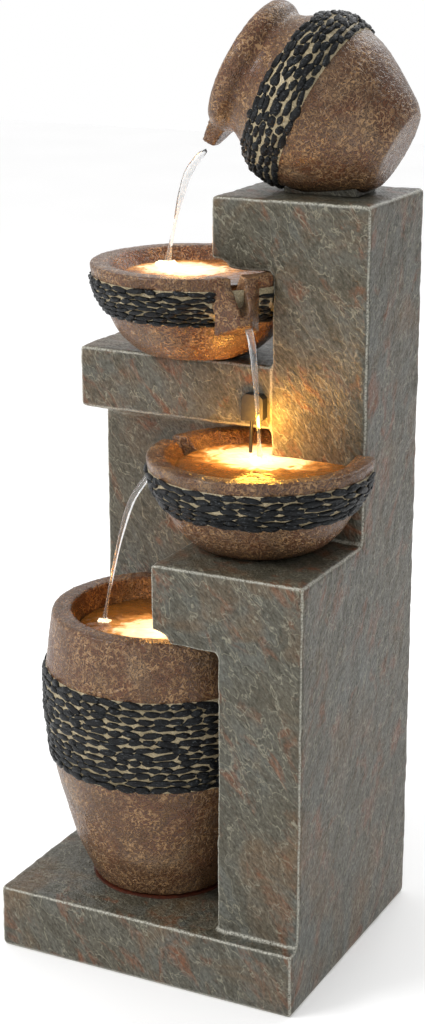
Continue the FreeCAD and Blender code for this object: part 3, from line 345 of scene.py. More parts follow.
@dataclass(frozen=True)
class Painted(Finish):
    """A plain moulded or made surface with a fine mottle and its own gloss."""
    colour: str
    second: str
    pitch: float
    rough: float
    depth: float
    metal: float = 0.0
    clear: float = 0.0
    glow: float = 0.0
    glow_colour: str = "#ffd9a0"
    index: float = 1.5

    def shade(self, tree: Tree) -> Inputs:
        """Make the mottle.

        Args:
            tree: the material's node tree.

        Returns:
            The shader's inputs.
        """
        place = add_node(tree, Kind.PLACE, out="Object")
        speckle = add_node(tree, Kind.NOISE, grain(place, per_mm(self.pitch)))
        mask = add_node(tree, Kind.RAMP, {"Fac": speckle}, span(0.35, 0.65))
        inputs = {
            "Base Color": layered(tree, self.colour, [(mask, self.second, MixBy.BLEND)]),
            "Normal": add_node(tree, Kind.BUMP, {"Height": speckle, "Strength": 0.4,
                                                 "Distance": self.depth * MM}),
            "Roughness": self.rough, "Metallic": self.metal, "Transmission Weight": self.clear,
            "Emission Color": self.glow_colour, "Emission Strength": self.glow}
        return inputs if self.metal else {**inputs, "IOR": self.index}


@dataclass(frozen=True)
class SlateChip(Finish):
    """Split black slate: near-black faces, and pale blue-grey split layers that are partly broken
    slate and partly painted sheen and highlight.
    """
    name: str = "split_black_slate"
    pitch: float = 3.0
    flat: float = 2.6

    def shade(self, tree: Tree) -> Inputs:
        """Make the split layers, which lie flat and carry the painted sheen and highlight.

        Args:
            tree: the material's node tree.

        Returns:
            The shader's inputs.
        """
        add = partial(add_node, tree)
        place = add(Kind.PLACE, out="Object")
        lie = add(Kind.MAPPING, {"Vector": place, "Scale": (1.0, 1.0, self.flat)})
        split = add(Kind.NOISE, grain(lie, per_mm(self.pitch), 3.0, 0.65, 0.5))
        broad = add(Kind.NOISE, grain(place, per_mm(14.0)))
        colour = layered(tree, "#08080a", [
            (add(Kind.RAMP, {"Fac": broad}, span(0.35, 0.65)), "#15181a", MixBy.BLEND),
            # pale blue-grey split layers: partly broken slate, partly painted sheen and highlight
            (add(Kind.RAMP, {"Fac": split}, span(0.58, 0.78)), "#70767a", MixBy.BLEND)])
        return {"Base Color": colour, "Roughness": 0.42, "Specular IOR Level": 0.2,
                "Normal": add(Kind.BUMP, {"Height": split, "Strength": 0.9,
                                          "Distance": 1.1 * MM})}


@dataclass(frozen=True)
class LitWater(Finish):
    """Shallow water over a warm lamp, seen from above.

    The lamp's light is painted in, as colour and glow: cream-white over the lamp, fading through amber
    to a painted brown shade.
    """
    spot: Point
    near: float
    far: float
    wide: float

    def shade(self, tree: Tree) -> Inputs:
        """Paint the patch of the lamp's light with its fall to shade, and make the ripples.

        Args:
            tree: the material's node tree.

        Returns:
            The shader's inputs.
        """
        add = partial(add_node, tree)
        place = add(Kind.PLACE, out="Object")
        size = (self.far * self.wide * MM, self.far * MM, self.far * MM)
        lie = add(Kind.MAPPING, {
            "Vector": place, "Location": tuple(c * MM for c in self.spot), "Scale": size},
            vector_type="TEXTURE")
        swirl = add(Kind.NOISE, grain(place, per_mm(16.0), 3.0, warp=0.8))
        far = add(Kind.VECTOR_MATH, {0: lie}, out="Value", operation="LENGTH")
        stirred = add(Kind.MATH, {0: swirl, 1: 0.42, 2: far}, operation="MULTIPLY_ADD")
        share = add(Kind.MATH, {0: stirred, 1: 0.21}, operation="SUBTRACT")
        edge = self.near / self.far
        # painted lamp light: cream-white over the lamp, through amber, to painted brown shade; the
        # same colour also glows
        warm = add(Kind.RAMP, {"Fac": share}, [
            (0.0, "#fff9e4"), (edge, "#f3dcae"), (edge + 0.07, "#b98242"),
            (edge + 0.2, "#6e4418"), (1.0, "#2c1a0c")])
        ripple = add(Kind.NOISE, grain(place, per_mm(7.0), warp=0.6))
        return {"Base Color": warm, "Emission Color": warm, "Emission Strength": 0.55,
                "Roughness": 0.08, "IOR": 1.33,
                "Normal": add(Kind.BUMP, {"Height": ripple, "Strength": 0.6,
                                          "Distance": 1.6 * MM})}


SLATE = SlateResin()
BRONZE = BronzedResin()
# pale, sandy mortar between the chips
GROUT = BronzedResin(name="pale_mosaic_grout", pitch=4.0, pit="#8b7d60", ground="#b3a382",
                     crest="#dccba6", patch="#9c8f72", ash="#c0b59c")
CHIP = SlateChip()
# supple black, with a soft sheen along its length
JACKET = Painted("PVC cable jacket", "#0b0b0c", "#161617", 2.0, 0.42, 0.05)
# dull black that takes no clear highlight
RUBBER = Painted("Moulded rubber", "#121212", "#1e1d1c", 3.0, 0.55, 0.15)
# bright metal, slightly warm
STEEL = Painted("Stainless steel", "#b9b6b0", "#a5a29c", 1.2, 0.28, 0.05, 1.0)
# dark grey pump plastic, satin
PUMP = Painted("Moulded ABS", "#1b1d1f", "#26282a", 2.5, 0.42, 0.08)
# poured, so glossier than the shells round it
POTTING = Painted("Epoxy potting", "#14151a", "#20222a", 6.0, 0.25, 0.05)
# smooth and off-white
CERAMIC = Painted("Alumina ceramic", "#e9e6dd", "#dcd8cc", 1.5, 0.3, 0.03)
# dark, dry and faintly grainy
MAGNET = Painted("Sintered ferrite", "#2d2c2c", "#3b3938", 1.0, 0.5, 0.08)
# milky, with a wet gloss
HOSE = Painted("Clear vinyl hose", "#c8cdc6", "#b8beb5", 12.0, 0.22, 0.05)
# black satin shells of the lamps
HOUSING = Painted("Moulded lamp body", "#171717", "#222222", 3.0, 0.4, 0.06)
# white board that throws the lamp's light forward
BOARD = Painted("Lamp board", "#f0efe8", "#dcdccf", 4.0, 0.4, 0.05)
# glossy reddish brown bead
SEAT = Painted("Bituminous sealant", "#5b2c1c", "#43221a", 6.0, 0.3, 0.4)
# near-white ground with no grain, lit a little of itself so that it stays pale
FLOOR = Painted("Matt paper sweep", "#f4f4f4", "#f1f1f1", 400.0, 0.9, 0.0, glow=0.22,
                glow_colour="#ffffff")
# warm lens that shines
LAMP_COVER = Painted("Lit acrylic lens", "#ffd08a", "#ffc070", 6.0, 0.3, 0.0, glow=6.0,
                     glow_colour="#ffb050")
# cream froth with the lamp's light in it
FOAM = Painted("Lit foam", "#fff6e0", "#ffe3b0", 5.0, 0.25, 0.6, glow=0.8,
               glow_colour="#fff0cc")
# clear and sparkling, with an uneven skin
FALLING = Painted("Falling water", "#ffffff", "#e4e8ea", 5.0, 0.03, 1.2, clear=0.9,
                  index=1.33)
# painted pools of lamp light and shade on each vessel's water
LIT_UPPER = LitWater("upper_lit_water", (-62, 66, 722), 34.0, 92.0, 1.25)
LIT_MIDDLE = LitWater("middle_lit_water", (62, -6, 546), 36.0, 112.0, 1.3)
LIT_POT = LitWater("pot_lit_water", (-30, -50, 353), 34.0, 112.0, 1.2)


# ------------------------------------------------------------------ bench work
def only(piece: Piece) -> None:
    """Select one object and make it active."""
    bpy.ops.object.select_all(action="DESELECT")
    piece.select_set(True)
    bpy.context.view_layer.objects.active = piece


def named(name: str) -> Piece:
    """Name the object that an operator has just made and put its place in its mesh."""
    piece = bpy.context.object
    piece.name = piece.data.name = name
    bpy.ops.object.transform_apply(location=True, rotation=True, scale=True)
    return piece


def add_primitive(name: str, operator: Callable[..., object], **settings: object) -> Piece:
    """Add a primitive with nothing else selected.

    Args:
        name: the new object's name.
        operator: the operator that adds it.
        settings: the operator's settings.

    Returns:
        The new object, with its place in its mesh.
    """
    bpy.ops.object.select_all(action="DESELECT")
    operator(**settings)
    return named(name)


def linked(name: str, data: bpy.types.ID, at: Sequence[float] = (0, 0, 0)) -> Piece:
    """Make an object of a light, a camera or a curve and link it.

    Args:
        name: the object's name.
        data: the light, camera or curve.
        at: its place in metres.

    Returns:
        The object.
    """
    piece = bpy.data.objects.new(name, data)
    bpy.context.collection.objects.link(piece)
    piece.location = at
    return piece


@contextmanager
def editing(piece: Piece, pick: str = "VERT", whole: bool = True) -> Iterator[None]:
    """Shape a piece in edit mode.

    Args:
        piece: the object.
        pick: what edit mode selects, VERT or FACE.
        whole: whether all of it is selected first; if not, what is selected stays so.

    Yields:
        Nothing.
    """
    only(piece)
    bpy.ops.object.mode_set(mode="EDIT")
    bpy.ops.mesh.select_mode(type=pick)
    if whole:
        bpy.ops.mesh.select_all(action="SELECT")
    yield
    bpy.ops.object.mode_set(mode="OBJECT")


def modify(piece: Piece, kind: str, **settings: object) -> None:
    """Add a modifier with its settings and apply it.

    Args:
        piece: the object.
        kind: the modifier's type.
        settings: the modifier's properties.
    """
    only(piece)
    modifier = piece.modifiers.new(kind.lower(), kind)
    for name, value in settings.items():
        setattr(modifier, name, value)
    bpy.ops.object.modifier_apply(modifier=modifier.name)


class By(Enum):
    """How a closed shape changes a piece."""
    ADDING = "UNION"
    CUTTING = "DIFFERENCE"


def combine(piece: Piece, tool: Piece, operation: By = By.CUTTING) -> None:
    """Join or cut a piece with another closed shape, which is used up.

    Args:
        piece: the object that stays.
        tool: the object that is used up.
        operation: whether it is added or cuts.
    """
    modify(piece, "BOOLEAN", operation=operation.value, object=tool, solver="EXACT")
    bpy.data.objects.remove(tool)


def block(name: str, low: Point, high: Point) -> Piece:
    """Add a rectangular block between two corners in millimetres.

    Args:
        name: the object's name.
        low: its lowest corner.
        high: its highest corner.

    Returns:
        The block.
    """
    return add_primitive(name, bpy.ops.mesh.primitive_cube_add, size=1.0,
                         location=[(a + b) / 2 * MM for a, b in zip(low, high)],
                         scale=[(b - a) * MM for a, b in zip(low, high)])


def drum(name: str, centre: Point, radius: float, length: float, axis: str = "Z",
         sides: int = 64) -> Piece:
    """Add a cylinder in millimetres.

    Args:
        name: the object's name.
        centre: its middle.
        radius: its radius.
        length: its length.
        axis: the axis it runs along.
        sides: how many sides it has.

    Returns:
        The cylinder.
    """
    turn = {"X": (0, math.pi / 2, 0), "Y": (math.pi / 2, 0, 0), "Z": (0, 0, 0)}[axis]
    return add_primitive(name, bpy.ops.mesh.primitive_cylinder_add, vertices=sides,
                         radius=radius * MM, depth=length * MM, rotation=turn,
                         location=[c * MM for c in centre])


def inside_boxes(point: Vector, boxes: Sequence[Box], margin: float) -> bool:
    """Tell whether a point in metres lies in or near any of some boxes in millimetres."""
    return any(all(low[n] - margin < point[n] / MM < high[n] + margin for n in range(3))
               for low, high in boxes)


def eased(profile: Profile) -> list[tuple[float, float]]:
    """Round a half section's corners by cutting each once, keeping its ends.

    Args:
        profile: (radius, height) points in millimetres.

    Returns:
        The rounded profile.
    """
    line = [profile[0]]
    for (r0, z0), (r1, z1) in zip(profile, profile[1:]):
        line.append((0.75 * r0 + 0.25 * r1, 0.75 * z0 + 0.25 * z1))
        line.append((0.25 * r0 + 0.75 * r1, 0.25 * z0 + 0.75 * z1))
    return [*line, profile[-1]]


def spun(name: str, profile: Profile, steps: int = 96) -> Piece:
    """Revolve a half section about the Z axis.

    Args:
        name: the object's name.
        profile: (radius, height) points in millimetres; it is revolved as given, so a section that
            doesn't begin and end on the axis repeats its first point at its end.
        steps: how many steps make the full turn.

    Returns:
        The closed, revolved object.
    """
    piece = add_primitive(name, bpy.ops.mesh.primitive_plane_add, size=MM)
    with editing(piece):
        bpy.ops.mesh.merge(type="CENTER")
        radius, height = profile[0]
        bpy.ops.transform.translate(value=(radius * MM, 0, height * MM))
        for (r0, z0), (r1, z1) in zip(profile, profile[1:]):
            bpy.ops.mesh.extrude_region_move(
                TRANSFORM_OT_translate={"value": ((r1 - r0) * MM, 0, (z1 - z0) * MM)})
        bpy.ops.mesh.select_all(action="SELECT")
        bpy.ops.mesh.spin(steps=steps, angle=math.tau, center=(0, 0, 0), axis=(0, 0, 1))
        bpy.ops.mesh.select_all(action="SELECT")
        bpy.ops.mesh.remove_doubles(threshold=0.02 * MM)
        bpy.ops.mesh.normals_make_consistent(inside=False)
    return piece


def chute(name: str, run: tuple[float, float], near: Point, far: Point) -> Piece:
    """Add a block along +X whose end is tapered to a second section.

    Args:
        name: the object's name.
        run: where it starts and ends along +X, in millimetres.
        near: half its width, its lower and its upper height at the start.
        far: the same at the end.

    Returns:
        The tapered block.
    """
    piece = block(name, (run[0], -near[0], near[1]), (run[1], near[0], near[2]))
    middle = (run[0] + run[1]) / 2 * MM
    for vertex in piece.data.vertices:
        vertex.select = vertex.co.x > middle
    for part in (*piece.data.edges, *piece.data.polygons):
        part.select = all(piece.data.vertices[n].select for n in part.vertices)
    with editing(piece, whole=False):
        at = (run[1] * MM, 0, (near[1] + near[2]) / 2 * MM)
        bpy.ops.transform.resize(
            value=(1, far[0] / near[0], (far[2] - far[1]) / (near[2] - near[1])),
            center_override=at)
        bpy.ops.transform.translate(value=(0, 0, (far[1] + far[2] - near[1] - near[2]) / 2 * MM))
    return piece


def settle(piece: Piece, matrix: Matrix) -> None:
    """Move a piece by a matrix and put its place into its mesh."""
    piece.matrix_world = matrix
    only(piece)
    bpy.ops.object.transform_apply(location=True, rotation=True, scale=True)


def cast(piece: Piece, voxel: float, soften: int) -> None:
    """Give a piece the even, slightly blunted skin of a casting.

    Args:
        piece: the object.
        voxel: mesh pitch in millimetres.
        soften: how many smoothing rounds blunt its edges.
    """
    modify(piece, "REMESH", mode="VOXEL", voxel_size=voxel * MM, use_smooth_shade=True)
    if soften:
        modify(piece, "SMOOTH", factor=0.5, iterations=soften)


def roughen(piece: Piece, pitch: float, depth: float, stretch: Point = (1.0, 1.0, 1.0),
            turn: Euler | None = None, group: str = "", outward: float = 0.5) -> None:
    """Work an uneven relief into a piece's surface.

    Args:
        piece: the object.
        pitch: size of the relief's lumps in millimetres.
        depth: height of the relief in millimetres.
        stretch: how much longer the lumps are along each of the texture's axes.
        turn: how the texture's axes are turned.
        group: the vertex group that takes the relief, or all.
        outward: the share of the depth that stands out of the surface.
    """
    texture = bpy.data.textures.new(f"{piece.name}_clouds", "CLOUDS")
    texture.noise_depth = 2
    texture.noise_scale = 1.0
    bpy.ops.object.select_all(action="DESELECT")
    bpy.ops.object.empty_add(rotation=turn or Euler((0, 0, 0)))
    axes = bpy.context.object
    axes.scale = [pitch * s * MM for s in stretch]
    bpy.context.view_layer.update()
    modify(piece, "DISPLACE", texture=texture, texture_coords="OBJECT",
           texture_coords_object=axes, strength=depth * MM,
           mid_level=1.0 - outward, vertex_group=group)
    bpy.data.objects.remove(axes)


def paint(piece: Piece, *finishes: Finish) -> None:
    """Give a piece its materials, one slot for each."""
    piece.data.materials.clear()
    for finish in finishes:
        piece.data.materials.append(finish.material())


def place_piece(piece: Piece, stands_for: Sequence[str] = (),
                body: str = "fountain") -> None:
    """Hang a finished piece on its body and hide the design nodes that it stands for.

    Args:
        piece: the object.
        stands_for: design nodes that it replaces.
        body: the body that it moves with.
    """
    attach(piece, body)
    if stands_for:
        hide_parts(*stands_for)
    faces = len(piece.data.polygons) if piece.type == "MESH" else 0
    LOG.info("%s: %d faces", piece.name, faces)


# ------------------------------------------------------------------ casting
# where the hose rises through the column
RISER = (100.0, 88.0)


@dataclass
class Casting:
    """The stepped slate casting: base, pedestal, rear wall, shelf and column."""
    half_wide: float = 173.5
    half_deep: float = 158.0
    base_top: float = 70.0
    wall: float = 8.0
    column: tuple[float, float, float] = (66.7, 11.0, 812.0)
    column_arm: tuple[float, float] = (-3.2, 745.5)
    stand: tuple[float, float, float] = (81.0, -139.7, 461.7)
    stand_arm: tuple[float, float] = (5.8, 390.1)
    shelf: tuple[float, float, float, float] = (-164.8, 16.0, 570.5, 638.8)
    rear: tuple[float, float] = (-172.0, 88.0)
    cove: float = 33.0
    recess: float = 6.3
    pipe: float = 8.6
    # each block joined on is this much smaller than the last, so that no two faces meet flat
    step_in: float = 0.13
    voxel: float = 3.3

    def outside(self) -> Piece:
        """Build the casting's solid outside from blocks.

        Returns:
            The outside.
        """
        right = self.half_wide
        back = self.half_deep
        blocks = [
            ((-right, -back, 0), (right, back, self.base_top)),
            ((self.stand[0], self.stand[1], 0), (right, back, self.stand[2])),
            ((self.stand_arm[0], self.stand[1], self.stand_arm[1]),
             (right, self.column[1], self.stand[2])),
            ((self.rear[0], self.rear[1], 0), (right, back, self.shelf[3] - self.wall)),
            ((self.shelf[0], self.shelf[1], self.shelf[2]), (right, back, self.shelf[3])),
            ((self.column[0], self.column[1], 0), (right, back, self.column[2])),
            ((self.column_arm[0], self.column[1], self.column_arm[1]),
             (right, back, self.column[2])),
        ]
        piece = block("casting", *blocks[0])
        for n, (low, high) in enumerate(blocks[1:]):
            inset = self.step_in * (n + 1)
            combine(piece, block(f"casting_block_{n}", [c + inset for c in low],
                                 [c - inset for c in high]), By.ADDING)
        front = self.rear[1] - self.cove
        low = self.shelf[2] - self.cove
        fillet = block("cove", (self.shelf[0], front, low),
                       (self.column[0] + 1, self.rear[1] + 1, self.shelf[2] + 1))
        combine(fillet, drum("cove_round", (0, front, low), self.cove, right * 3, "X"))
        combine(piece, fillet, By.ADDING)
        return piece

    def corbels(self) -> list[Piece]:
        """Build the coved fillings between an arm and the bowl below it.

        Returns:
            The fillings.
        """
        made = []
        inset = 20.0
        for name, left, right, front, back, arm_low, rim in (
                ("column_corbel", self.column_arm[0], self.column[0] + 1, self.column[1] + 3,
                 self.half_deep - 4, self.column_arm[1], 737.1),
                ("stand_corbel", self.stand_arm[0], self.stand[0] + 1, self.stand[1] + 3,
                 self.column[1], self.stand_arm[1], 377.9)):
            filling = block(name, (left + 3, front, rim), (right, back, arm_low + 1))
            round_off = drum(name + "_round", (left, (front + back) / 2, rim - 6), inset,
                             back - front + 9, "Y")
            combine(filling, round_off)
            made.append(filling)
        return made

    def hollows(self) -> list[Box]:
        """Place the hollows that the mesh is thinned in.

        Returns:
            The boxes of the sump, the riser and the base plate's recess.
        """
        wall = self.wall
        right, back = self.half_wide - wall, self.half_deep - wall
        return [
            ((self.rear[0] + wall, self.rear[1] + wall, self.base_top),
             (right, back, self.shelf[2] - wall)),
            ((self.column[0] + wall, self.column[1] + wall, self.base_top + 60),
             (right, back, self.column[2] - wall)),
            ((-right, -back, -1), (right, back, self.recess)),
        ]

    def inside(self) -> list[Piece]:
        """Build what is cut out of the casting.

        Returns:
            The hollows, the access opening and the pipe holes.
        """
        sump, riser, recess = self.hollows()
        wall = self.wall
        return [
            block("sump", *sump),
            block("riser", *riser),
            block("access", (36.5, self.half_deep - wall * 2, 178.0),
                  (156.5, self.half_deep + wall, 277.0)),
            block("plate_recess", *recess),
            drum("riser_hole", (*RISER, self.column[2]), self.pipe, wall * 6),
            drum("drain_hole", (-37.3, self.rear[1], 318.0), self.pipe, wall * 6, "Y"),
        ]

    def build(self) -> None:
        """Model, roughen and dress the casting."""
        piece = self.outside()
        for filling in self.corbels():
            combine(piece, filling, By.ADDING)
        for hollow in self.inside():
            combine(piece, hollow)
        cast(piece, self.voxel, 3)
        self.thin_inside(piece)
        for pitch, depth, long in ((9.0, 1.6, 5), (34.0, 2.4, 2.5)):
            roughen(piece, pitch, depth, (1, 1, long), CLEAVAGE, "outside", 0.6)
        paint(piece, SLATE)
        place_piece(piece, [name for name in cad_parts
                                           if name.startswith("casting_")])

    def thin_inside(self, piece: Piece) -> None:
        """Dissolve the mesh of the hidden walls and group the skin that takes the relief.

        Args:
            piece: the casting.
        """
        mesh = piece.data
        near = (self.hollows(), self.voxel * 1.2)
        inner = [inside_boxes(v.co, *near) for v in mesh.vertices]
        mesh.vertices.foreach_set("select", inner)
        for part in (*mesh.edges, *mesh.polygons):
            part.select = all(inner[n] for n in part.vertices)
        with editing(piece, "FACE", whole=False):
            bpy.ops.mesh.dissolve_limited(angle_limit=math.radians(2.0))
        skin = [v.index for v in piece.data.vertices
                if not inside_boxes(v.co, *near) and v.co.z > self.voxel * MM]
        piece.vertex_groups.new(name="outside").add(skin, 1.0, "REPLACE")


# ------------------------------------------------------------------ bands of stones
@dataclass
class Mosaic:
    """A band of split stones set in pale grout round a vessel."""
    name: str
    face: Profile
    row: float
    length: float
    rise: float
    slack: float
    seed: int
    broken: float = 0.11
    grout: float = 1.3
    sunk: float = 1.5

    def stones(self) -> list[Piece]:
        """Model a few different stones once, about 1 unit long, wide and high.

        Returns:
            The stones.
        """
        made = []
        for n in range(6):
            stone = add_primitive(f"{self.name}_stone_{n}", bpy.ops.mesh.primitive_ico_sphere_add,
                                  subdivisions=2, radius=0.56)
            with editing(stone):
                bpy.ops.transform.vertex_random(offset=self.broken, uniform=1.0,
                                                seed=self.seed + n)
            if n % 3 == 0:
                bpy.ops.object.shade_smooth()
            made.append(stone)
        return made

    def marks(self) -> list[float]:
        """Measure along the band's face.

        Returns:
            How far along it each of its points lies.
        """
        far = [0.0]
        for (r0, z0), (r1, z1) in zip(self.face, self.face[1:]):
            far.append(far[-1] + math.hypot(r1 - r0, z1 - z0))
        return far

    def at(self, distance: float, marks: Sequence[float]) -> tuple[float, float, float, float]:
        """Find the radius, height and slope a distance along the face.

        Args:
            distance: millimetres along the face.
            marks: the distance at each of its points.

        Returns:
            Radius, height, and the unit step along the face.
        """
        n = next((n for n in range(len(marks) - 1) if distance <= marks[n + 1]), len(marks) - 2)
        span_here = marks[n + 1] - marks[n]
        share = (distance - marks[n]) / span_here
        (r0, z0), (r1, z1) = self.face[n], self.face[n + 1]
        return (r0 + (r1 - r0) * share, z0 + (z1 - z0) * share,
                (r1 - r0) / span_here, (z1 - z0) / span_here)

    def build(self, matrix: Matrix, free: Callable[[Vector, float], bool]) -> Piece:
        """Lay the stones and the grout.

        Args:
            matrix: the vessel's place in the fountain.
            free: tells whether a stone at a point and a heading in degrees may be laid.

        Returns:
            The band as one piece.
        """
        seed = random.Random(self.seed)
        stones = self.stones()
        marks = self.marks()
        rows = max(2, round(marks[-1] / self.row))
        pitch = marks[-1] / rows
        laid = []
        for row in range(rows):
            angle = seed.uniform(0, math.tau)
            end = angle + math.tau
            while angle < end:
                distance = (row + 0.5 + seed.uniform(-self.slack, self.slack)) * pitch
                radius, height, dr, dz = self.at(min(max(distance, 0.4), marks[-1] - 0.4), marks)
                length = self.length * seed.uniform(0.62, 1.3)
                middle = angle + length / radius / 2
                angle += length / radius * 1.02
                across = Vector((-math.sin(middle), math.cos(middle), 0))
                out = Vector((math.cos(middle), math.sin(middle), 0))
                rise = out * dr + Vector((0, 0, dz))
                normal = across.cross(rise).normalized()
                spot = out * radius + Vector((0, 0, height)) + normal * self.rise * 0.3
                if not free(matrix @ (spot * MM), math.degrees(middle)):
                    continue
                turn = Matrix((across, rise, normal)).transposed()
                turn = turn @ Euler((seed.uniform(-0.12, 0.3), 0,
                                     seed.uniform(-0.2, 0.2))).to_matrix()
                size = (length * seed.choice((-1, 1)), pitch * seed.uniform(0.72, 1.02),
                        self.rise * seed.uniform(1.3, 1.75))
                stone = seed.choice(stones).copy()
                stone.data = stone.data.copy()
                stone.matrix_world = (matrix @ Matrix.Translation(spot * MM) @ turn.to_4x4()
                                      @ Matrix.Diagonal((*[c * MM for c in size], 1)))
                bpy.context.collection.objects.link(stone)
                laid.append(stone)
        for stone in stones:
            bpy.data.objects.remove(stone)
        band = self.joined(laid)
        bed = spun(self.name + "_bed", self.bed())
        paint(bed, CHIP, GROUT)
        bed.data.polygons.foreach_set("material_index", [1] * len(bed.data.polygons))
        bpy.ops.object.shade_smooth()
        settle(bed, matrix)
        only(band)
        bed.select_set(True)
        bpy.ops.object.join()
        return band

    def joined(self, laid: Sequence[Piece]) -> Piece:
        """Join the laid stones into one dressed piece.

        Args:
            laid: the stones.

        Returns:
            The joined stones, with their place in their mesh.
        """
        only(laid[0])
        for stone in laid:
            stone.select_set(True)
        bpy.ops.object.join()
        band = named(self.name)
        with editing(band):
            bpy.ops.mesh.normals_make_consistent(inside=False)
        paint(band, CHIP, GROUT)
        return band

    def bed(self) -> list[tuple[float, float]]:
        """Make the grout's section.

        Returns:
            A closed section: a thin skin over the vessel's face.
        """
        outer = [(r + self.grout, z) for r, z in self.face[1:-1]]
        inner = [(r - self.sunk, z) for r, z in self.face]
        return [inner[0], self.face[0], *outer, self.face[-1], *inner[::-1]]


# ------------------------------------------------------------------ vessels
COLUMN_BOX = ((66.7, 11.0, 400.0), (200.0, 200.0, 812.0))
REAR_BOX = ((-200.0, 88.0, 60.0), (200.0, 200.0, 570.0))
STAND_BOX = ((81.0, -139.7, 60.0), (200.0, 200.0, 461.0))
COVE_BOX = ((-166.0, 66.0, 548.0), (200.0, 200.0, 638.0))


@dataclass
class Bowl:
    """A tier's round bowl with a poured lip and a band of stones, which the casting trims."""
    name: str
    centre: Point
    band: Mosaic
    ring: str
    heading: float = 0.0
    radius: float = 114.5
    tall: float = 98.0
    voxel: float = 2.0
    boxes: Sequence[Box] = ()
    # the lip's half width, drop and reach at its root, and how far its tip lies below the rim
    lip_wide: float = 26.0
    lip_deep: float = 60.0
    lip_reach: float = 18.0
    lip_drop: float = 31.0

    def section(self) -> list[tuple[float, float]]:
        """Give the wall's half section, from the foot round the rim to the well."""
        r = self.radius
        return eased([
            (0, 0), (r - 58, 0), (r - 41, 11), (r - 29, 24), (r - 18, 46), (r - 6, 67),
            (r - 2, 85), (r, 95), (r - 1, 97.2), (r - 3, 98), (r - 19, 98), (r - 21, 96),
            (r - 31, 84), (r - 45, 66), (r - 63, 40), (r - 83, 22), (20, 14), (0, 14)])

    def place(self) -> Matrix:
        """Give the place, with the lip along +X before it is turned."""
        turn = Matrix.Rotation(math.radians(self.heading), 4, "Z")
        return Matrix.Translation(Vector(self.centre) * MM) @ turn

    def lip(self) -> Iterator[tuple[Piece, By]]:
        """Make what is added to the rim or cut from it.

        Yields:
            The lip, and then the channel that is cut along it.
        """
        r, top, tip = self.radius, self.tall, self.tall - self.lip_drop
        yield chute("lip", (r - 7, r + self.lip_reach),
                    (self.lip_wide, top - self.lip_deep, top - 0.4), (8, tip - 17, tip + 1)), By.ADDING
        yield chute("channel", (r - 46, r + self.lip_reach + 2), (12, top - 21, top + 12),
                    (4.2, tip - 6, top + 12)), By.CUTTING

    def cuts(self) -> Iterator[Piece]:
        """Make the blocks that trim the vessel back to the casting."""
        return blocks(self.name, self.boxes)

    def build(self) -> None:
        """Model and dress the vessel."""
        piece = spun(self.name + "_turned", self.section())
        for shape, operation in self.lip():
            combine(piece, shape, operation)
        settle(piece, self.place())
        for shape in self.cuts():
            combine(piece, shape)
        cast(piece, self.voxel, 4)
        roughen(piece, 5.0, 0.9, outward=0.4)
        roughen(piece, 28.0, 1.0, outward=0.3)
        paint(piece, BRONZE)
        place_piece(piece, self.stands_for())

    def stands_for(self) -> list[str]:
        """Name the design nodes that the vessel replaces."""
        return [self.name]

    def may_lay(self, point: Vector, heading: float) -> bool:
        """Tell whether a stone may be laid, clear of the lip and the casting.

        Args:
            point: the stone's place, in metres.
            heading: its angle round the vessel from the lip, in degrees.

        Returns:
            Whether it may.
        """
        wide = 24.0 if point.z / MM - self.centre[2] > self.tall - 60 else 0.0
        off = (heading + 180) % 360 - 180
        near_lip = abs(off) < math.degrees(wide / self.radius)
        return not near_lip and not inside_boxes(point, self.boxes, self.band.row * 0.5)

    def clear_boxes(self) -> Sequence[Box]:
        """Give the boxes that the band stays out of."""
        return self.boxes

    def build_band(self) -> None:
        """Lay the band and cut it back where the casting or the saddle stands."""
        band = self.band.build(self.place(), self.may_lay)
        for box in self.clear_boxes():
            clear_box(band, box)
        place_piece(band, [self.ring])


def blocks(name: str, boxes: Sequence[Box]) -> Iterator[Piece]:
    """Make one block after another, each to be used up before the next.

    Args:
        name: what they are for.
        boxes: their boxes.

    Yields:
        Each block.
    """
    for n, box in enumerate(boxes):
        yield block(f"{name}_tool_{n}", *box)


def clear_box(band: Piece, box: Box) -> None:
    """Take away a band's faces that lie inside a box, and close what that opens.

    Args:
        band: the band.
        box: the box.
    """
    mesh = band.data
    gone = [inside_boxes(p.center, [box], 0.0) for p in mesh.polygons]
    if not any(gone):
        return
    mesh.vertices.foreach_set("select", [False] * len(mesh.vertices))
    mesh.edges.foreach_set("select", [False] * len(mesh.edges))
    mesh.polygons.foreach_set("select", gone)
    with editing(band, "FACE", whole=False):
        bpy.ops.mesh.delete(type="FACE")
        bpy.ops.mesh.select_all(action="SELECT")
        bpy.ops.mesh.fill_holes(sides=0)


@dataclass
class Pot(Bowl):
    """The large stippled basin that stands on the base."""

    def section(self) -> list[tuple[float, float]]:
        """Give the pot's half section, in the fountain's heights."""
        return [(0, 288), (92.5, 288), (109.5, 214), (85.5, 120), (65, 73), (77, 73),
                (97.5, 120), (113, 177), (121.5, 214), (127.5, 270), (127.5, 296),
                (126.5, 316), (122.9, 347.6), (118.9, 374.6), (117.9, 376.8), (115.9, 377.6),
                (98.5, 377.6), (96.5, 375.6), (90.5, 326), (82.5, 296), (0, 296)]

    def lip(self) -> Iterator[tuple[Piece, By]]:
        """Give nothing: the pot has a plain rim."""
        return iter(())

    def stands_for(self) -> list[str]:
        """Name the two design nodes of the pot."""
        return ["lower_pot", "pot_mouth"]


